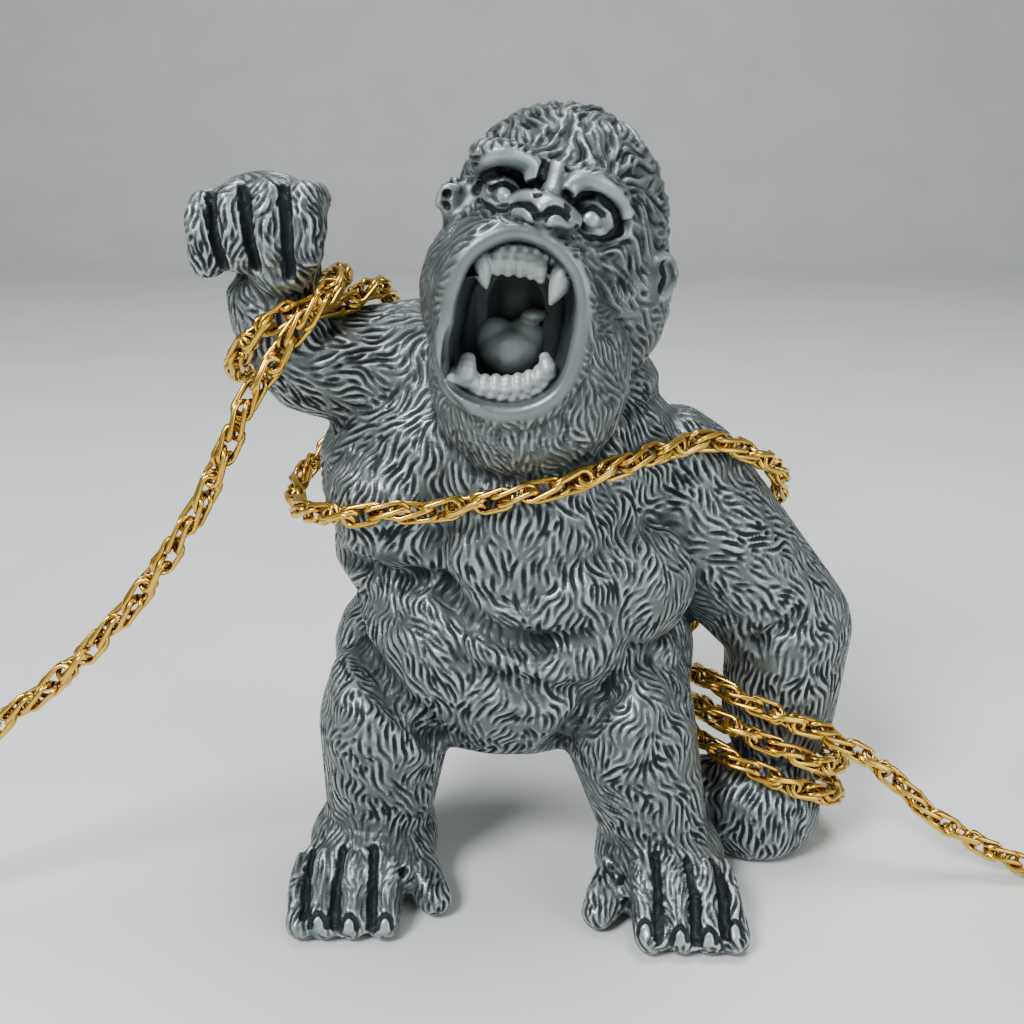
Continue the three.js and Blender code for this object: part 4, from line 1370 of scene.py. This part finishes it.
# %% [markdown]
# ## Teeth and tongue
# These are castings of their own, set into the mouth's hollow. Each row is a bent gum with short blunt
# teeth and a fat canine at each end, built up from balls of clay that shrink towards the tips. The tongue
# has two lobes with a groove between them. A voxel remesh melts each group of balls into one smooth piece.

# %% Horns of clay that melt into one piece
TEETH_Y = -28
HORN_BEND = 0.6


def horn(root, tip, thick, thin, count=9):
    """Balls that shrink along a line, slightly bent."""
    pieces = []
    for k in range(count):
        share = k / (count - 1)
        centre = root.lerp(tip, share) + Vector((0, -HORN_BEND * MM * math.sin(math.pi * share), 0))
        pieces.append(ball(centre, thick + (thin - thick) * share ** 1.4))
    return pieces


def melted(name, pieces, voxel, rounds):
    """Balls of clay melted into one smooth piece."""
    piece = join(pieces, name)
    apply_modifier(piece, "REMESH", mode="VOXEL", voxel_size=voxel * MM, adaptivity=0)
    apply_modifier(piece, "SMOOTH", factor=0.5, iterations=rounds)
    only(piece)
    bpy.ops.object.shade_smooth()
    print(name, len(piece.data.polygons), "faces")
    return piece


# %% The upper row
# pixel of the tooth's middle, half its length in pixels
UPPER_TEETH = [(497, 259, 11), (508, 259, 12), (520, 260, 12), (531, 262, 12), (541, 267, 11)]
upper_gum = [(476, 262), (482, 250), (494, 243), (508, 240), (522, 240), (536, 244), (549, 252), (562, 265)]
upper = [ball(spot(u, v, TEETH_Y + 1), 1.8) for u, v in drawn_line(upper_gum, 14)]
for u, v, half in UPPER_TEETH:
    upper += horn(spot(u, v - half, TEETH_Y), spot(u, v + half, TEETH_Y - 0.2), 1.3, 0.95, 5)
    upper.append(ball(spot(u + 5, v - half, TEETH_Y - 0.8), 0.75))
upper += horn(spot(480, 258, TEETH_Y), spot(486, 287, TEETH_Y - 1), 2.0, 0.4)
upper += horn(spot(566, 270, TEETH_Y), spot(551, 303, TEETH_Y - 1), 2.3, 0.45)
teeth_upper = melted("carved_teeth_upper", upper, 0.24, 2)

# %% The lower row
LOWER_TEETH = [
    (474, 385, 9), (485, 388, 9), (496, 389, 10), (507, 390, 10), (518, 388, 10), (529, 384, 9),
    (539, 378, 8),
]
lower_gum = [(456, 378), (466, 394), (484, 405), (508, 408), (532, 402), (550, 386)]
lower = [ball(spot(u, v, TEETH_Y + 1), 2.1) for u, v in drawn_line(lower_gum, 16)]
for u, v, half in LOWER_TEETH:
    lower += horn(spot(u, v + half, TEETH_Y), spot(u, v - half, TEETH_Y), 1.25, 0.95, 5)
    lower.append(ball(spot(u + 5, v + half, TEETH_Y - 0.8), 0.9))
    lower.append(ball(spot(u, v + half + 6, TEETH_Y - 0.8), 0.8))
lower += horn(spot(465, 380, TEETH_Y), spot(468, 360, TEETH_Y + 0.5), 2.0, 1.3, 5)
lower += horn(spot(549, 374, TEETH_Y), spot(545, 358, TEETH_Y + 0.5), 1.7, 1.0, 4)
teeth_lower = melted("carved_teeth_lower", lower, 0.24, 2)

# %% The tongue
tongue_balls = [
    ball(spot(496, 339, -19), 3.5, (1, 0.8, 1.1)),
    ball(spot(525, 339, -19), 3.5, (1, 0.8, 1.1)),
    ball(spot(510, 350, -20), 4.6, (1.15, 0.8, 0.85)),
    ball(spot(510, 352, -17), 4.6, (1.1, 1.5, 1.0)),
    ball(spot(534, 315, -20), 1.5, (1.5, 1.2, 0.8)),
    ball(spot(530, 322, -18), 1.6, (1.2, 1.2, 1.2)),
    ball(spot(520, 330, -14), 3.2, (1.2, 1.2, 1.0)),
]
tongue = melted("carved_tongue", tongue_balls, 0.3, 6)
for piece, node, slot in (
    (teeth_upper, "upper_teeth", "teeth"),
    (teeth_lower, "lower_teeth", "teeth"),
    (tongue, "tongue", "tongue"),
):
    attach(piece, "figurine")
    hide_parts(node)

# %% [markdown]
# ## Finishes
# The resin's paint is two coats: the dark one is seen in every groove, and the silver one on what stands
# proud, unevenly, as a dry brush leaves it. Broad folds, the inside of the mouth and narrow recesses are
# darkened further with the dark colour as painted shade. The chain is polished gold over brass with brown
# painted shade in its recesses. All colours come from noise, from what was measured on the skin, and from
# places on the object.

# %% Helpers for materials
def new_material(name):
    """A material with its node tree and its shader."""
    material = bpy.data.materials.new(name)
    material.use_nodes = True
    return material, material.node_tree, material.node_tree.nodes["Principled BSDF"]


def fill(tree, node, inputs):
    """Link or set a node's inputs, named or numbered."""
    for key, value in inputs.items():
        if isinstance(value, bpy.types.NodeSocket):
            tree.links.new(value, node.inputs[key])
        else:
            node.inputs[key].default_value = value


def add_node(tree, kind, inputs, **settings):
    """A node with its settings and its inputs."""
    node = tree.nodes.new(kind)
    for key, value in settings.items():
        setattr(node, key, value)
    fill(tree, node, inputs)
    return node


def attribute(tree, name):
    """A value that was stored on the skin's corners."""
    return add_node(tree, "ShaderNodeAttribute", {}, attribute_name=name).outputs["Fac"]


def math_node(tree, operation, a, b):
    return add_node(tree, "ShaderNodeMath", {0: a, 1: b}, operation=operation).outputs[0]


def times(tree, a, b):
    return math_node(tree, "MULTIPLY", a, b)


def plus(tree, a, b):
    return math_node(tree, "ADD", a, b)


def minus(tree, a, b):
    return math_node(tree, "SUBTRACT", a, b)


def largest(tree, first, *others):
    """The largest of several values."""
    for other in others:
        first = math_node(tree, "MAXIMUM", first, other)
    return first


def swing(tree, value, strength):
    """A 0 to 1 value as an equal swing to both sides of 0."""
    return times(tree, minus(tree, value, 0.5), strength)


# %% Noise, fades and mixtures
def noise(tree, scale, detail=3, roughness=0.55):
    """Noise that is fixed to the object."""
    where = add_node(tree, "ShaderNodeTexCoord", {}).outputs["Object"]
    inputs = {"Vector": where, "Scale": scale, "Detail": detail, "Roughness": roughness}
    return add_node(tree, "ShaderNodeTexNoise", inputs).outputs["Fac"]


def spread(tree, value, low, high):
    """0 where value is low, 1 where it is high, smooth between."""
    inputs = {"Value": value, "From Min": low, "From Max": high}
    return add_node(tree, "ShaderNodeMapRange", inputs, interpolation_type="SMOOTHSTEP").outputs[0]


def open_air(tree, distance):
    """For painted shade: 1 where nothing is near, less in recesses narrower than this distance."""
    return add_node(tree, "ShaderNodeAmbientOcclusion", {"Distance": distance}, samples=8).outputs["AO"]


def mixed(tree, share, a, b):
    """Colour a where the share is 0, b where it is 1."""
    return add_node(tree, "ShaderNodeMix", {0: share, 6: a, 7: b}, data_type="RGBA").outputs[2]


# %% [markdown]
# ## The two coats of paint
# The silver is partly metallic and the dark coat isn't, as with a real brushed-on metal paint. The edge
# between them is broken up by noise.

# %% The painted resin
# DARK is the dark coat, and also the colour of the painted shade in folds, the mouth and recesses
DARK = (0.005, 0.008, 0.012, 1)
SILVER = (0.115, 0.135, 0.138, 1)
BRIGHT = (0.4, 0.45, 0.45, 1)


def resin_material(name, silver, bright, wear):
    """Silver on what stands proud, unevenly, the dark coat in grooves, and painted shade in broad folds, deep
    in the mouth and in recesses.
    """
    material, tree, shader = new_material(name)
    fine = noise(tree, 900, 4)
    patches = noise(tree, 70)
    ridge = attribute(tree, "ridge")
    in_groove = spread(tree, plus(tree, attribute(tree, "groove"), swing(tree, fine, 0.5)), 0.17, 0.56)
    on_ridge = spread(tree, plus(tree, ridge, swing(tree, patches, 0.35)), 0.55, 0.95)
    calm = minus(tree, 1.0, times(tree, attribute(tree, "calm"), 0.55))
    on_crest = times(tree, attribute(tree, "crest"), 0.8)
    on_ridge = largest(tree, times(tree, on_ridge, calm), on_crest)
    silver_coat = mixed(tree, spread(tree, patches, 0.3, 0.7), silver, wear)
    coat = mixed(tree, on_ridge, silver_coat, bright)
    sunk = spread(tree, ridge, 0.42, 0.1)
    # painted shade in broad folds
    fold_shade_share = spread(tree, attribute(tree, "broad_fold_shade"), 0.12, 0.75)
    # painted shade, darker deeper inside the mouth
    mouth_shade = times(tree, attribute(tree, "mouth_depth_shade"), 0.72)
    # painted shade in the recesses that ambient occlusion finds
    recess_shade = spread(tree, open_air(tree, 0.003), 0.6, 0.25)
    # the dark coat of the grooves together with the painted shade
    dark_coat_and_shade = times(tree, largest(tree, in_groove, sunk, fold_shade_share, mouth_shade, recess_shade), 0.94)
    painted = mixed(tree, dark_coat_and_shade, coat, DARK)
    bump = add_node(tree, "ShaderNodeBump", {"Strength": 0.25, "Distance": 0.0001, "Height": fine})
    fill(tree, shader, {
        "Base Color": mixed(tree, attribute(tree, "eye"), painted, BRIGHT),
        "Metallic": times(tree, minus(tree, 1.0, dark_coat_and_shade), 0.6),
        "Specular IOR Level": minus(tree, 0.5, times(tree, dark_coat_and_shade, 0.35)),
        "Roughness": plus(tree, plus(tree, times(tree, fine, 0.2), 0.28), times(tree, dark_coat_and_shade, 0.15)),
        "Normal": bump.outputs[0],
    })
    return material


resin = resin_material("painted resin", SILVER, BRIGHT, (0.062, 0.076, 0.08, 1))
for piece in carved:
    piece.data.materials.append(resin)


# %% Paint on teeth and tongue
def plain_paint(name, dark, light, low, high):
    """Paint that is lighter in the open and darker in the recesses between teeth as painted shade, broken up
    by speckle.
    """
    material, tree, shader = new_material(name)
    speckle = swing(tree, noise(tree, 600, 4), 0.5)
    # painted shade: darker where ambient occlusion finds a recess
    shade_and_speckle = spread(tree, plus(tree, open_air(tree, 0.0018), speckle), low, high)
    colour = mixed(tree, shade_and_speckle, dark, light)
    fill(tree, shader, {"Base Color": colour, "Roughness": 0.45, "Metallic": 0.35})
    return material


MOUTH_SHADE = (0.02, 0.026, 0.032, 1)
teeth_paint = plain_paint("brushed teeth", MOUTH_SHADE, (0.4, 0.44, 0.44, 1), 0.25, 0.85)
tongue_paint = plain_paint("brushed tongue", MOUTH_SHADE, (0.3, 0.34, 0.34, 1), 0.05, 0.6)
teeth_upper.data.materials.append(teeth_paint)
teeth_lower.data.materials.append(teeth_paint)
tongue.data.materials.append(tongue_paint)

# %% [markdown]
# ## Gold, rubber and steel
# The chain is plated, tarnished in patches, and darkened brown in its recesses as painted shade. The
# pads, dowels and fittings are hardly seen, but each still has a grain, so that none looks like flat colour.

# %% Gold
GOLD = (0.8, 0.5, 0.085, 1)
OLD_GOLD = (0.6, 0.34, 0.05, 1)
SHADE_BROWN = (0.16, 0.065, 0.012, 1)
gold, tree, shader = new_material("gold plate")
tarnish = spread(tree, noise(tree, 160), 0.35, 0.75)
# painted shade: brown where ambient occlusion finds the links closed in
gold_recess_shade = spread(tree, open_air(tree, 0.0018), 0.75, 0.25)
polished = mixed(tree, tarnish, GOLD, OLD_GOLD)
fill(tree, shader, {
    "Base Color": mixed(tree, gold_recess_shade, polished, SHADE_BROWN),
    "Metallic": 1,
    "Roughness": plus(tree, times(tree, tarnish, 0.14), 0.2),
})
for piece in (chain_left, chain_body, chain_right):
    piece.data.materials.append(gold)


# %% Pads, dowels and fittings
def worn_material(name, colour, worn, scale, metallic, low_rough, high_rough, grain_depth):
    """A finish in two shades with a fine grain that also breaks up its shine."""
    material, tree, shader = new_material(name)
    patches = noise(tree, scale, 4)
    grain = noise(tree, scale * 8)
    share = spread(tree, plus(tree, times(tree, patches, 0.7), times(tree, grain, 0.3)), 0.35, 0.65)
    rough = {"Value": share, "To Min": low_rough, "To Max": high_rough}
    bump = {"Strength": 0.4, "Distance": grain_depth, "Height": grain}
    fill(tree, shader, {
        "Base Color": mixed(tree, share, colour, worn),
        "Metallic": metallic,
        "Roughness": add_node(tree, "ShaderNodeMapRange", rough).outputs[0],
        "Normal": add_node(tree, "ShaderNodeBump", bump).outputs[0],
    })
    return material


RUBBER = (0.012, 0.012, 0.013, 1)
WORN_RUBBER = (0.03, 0.03, 0.031, 1)
STEEL = (0.42, 0.43, 0.44, 1)
WORN_STEEL = (0.3, 0.3, 0.31, 1)
rubber = worn_material("black rubber", RUBBER, WORN_RUBBER, 300, 0, 0.7, 0.9, 0.0001)
steel = worn_material("ground steel", STEEL, WORN_STEEL, 200, 1, 0.25, 0.45, 0.00002)
brass = worn_material("gold on brass", GOLD, OLD_GOLD, 260, 1, 0.18, 0.34, 0.00002)
FINISHES = {"pad": rubber, "dowel": steel, "clasp": brass, "end_ring": brass}
finished = 0
for node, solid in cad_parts.items():
    for word, finish in FINISHES.items():
        if word in node:
            solid.data.materials.clear()
            solid.data.materials.append(finish)
            finished += 1
print("solids with a finish of their own:", finished)


# %% [markdown]
# ## Floor and light
# A plain pale floor that bends up into a backdrop keeps the eye on the figure. The key light stands at the
# upper left in front, a larger and weaker one fills from the right, and one above picks out the upper
# edges.

# %% The pale floor and backdrop
SWEEP = 1.1
BEND = 0.4
BEND_STEPS = 12
HALF_WIDE = 2.2
profile = [(-1.6, 0.0)]
for k in range(BEND_STEPS + 1):
    angle = math.radians(90 * k / BEND_STEPS)
    profile.append((SWEEP + BEND * math.sin(angle), BEND - BEND * math.cos(angle)))
profile.append((SWEEP + BEND, 2.4))
corners = [(x, y, z) for y, z in profile for x in (-HALF_WIDE, HALF_WIDE)]
strips = [(2 * k, 2 * k + 1, 2 * k + 3, 2 * k + 2) for k in range(len(profile) - 1)]
backdrop = mesh_object("backdrop", np.array(corners), np.array(strips))
paper, tree, shader = new_material("pale paper")
grain = spread(tree, noise(tree, 14, 2), 0.3, 0.7)
pale = mixed(tree, grain, (0.66, 0.68, 0.66, 1), (0.62, 0.645, 0.63, 1))
fill(tree, shader, {"Base Color": pale, "Roughness": 0.75})
backdrop.data.materials.append(paper)
backdrop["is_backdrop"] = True


# %% The lights
def soft_light(name, where, size, power, colour=(1, 1, 1)):
    """A round area light that points at the figure's middle."""
    data = bpy.data.lights.new(name, "AREA")
    data.shape = "DISK"
    data.size = size
    data.energy = power
    data.color = colour
    lamp = new_object(name, data)
    lamp.location = where
    aim = Vector((0, 0, 0.07)) - Vector(where)
    lamp.rotation_euler = aim.to_track_quat("-Z", "Y").to_euler()


soft_light("key", (-0.45, -0.55, 0.75), 0.35, 13)
soft_light("fill", (0.75, -0.6, 0.35), 0.7, 5, (0.93, 0.97, 1))
soft_light("top", (0.1, 0.15, 1.0), 0.5, 8)
world = bpy.data.worlds.new("studio")
world.use_nodes = True
world.node_tree.nodes["Background"].inputs["Color"].default_value = (0.8, 0.85, 0.85, 1)
world.node_tree.nodes["Background"].inputs["Strength"].default_value = 0.35
bpy.context.scene.world = world

# %% [markdown]
# ## The box at the end
# The carved skin was kept inside the solids' box, and the box of the finished model is measured. The
# carved model has to stay inside the solids' box.

# %% Measure the finished box
low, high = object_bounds()
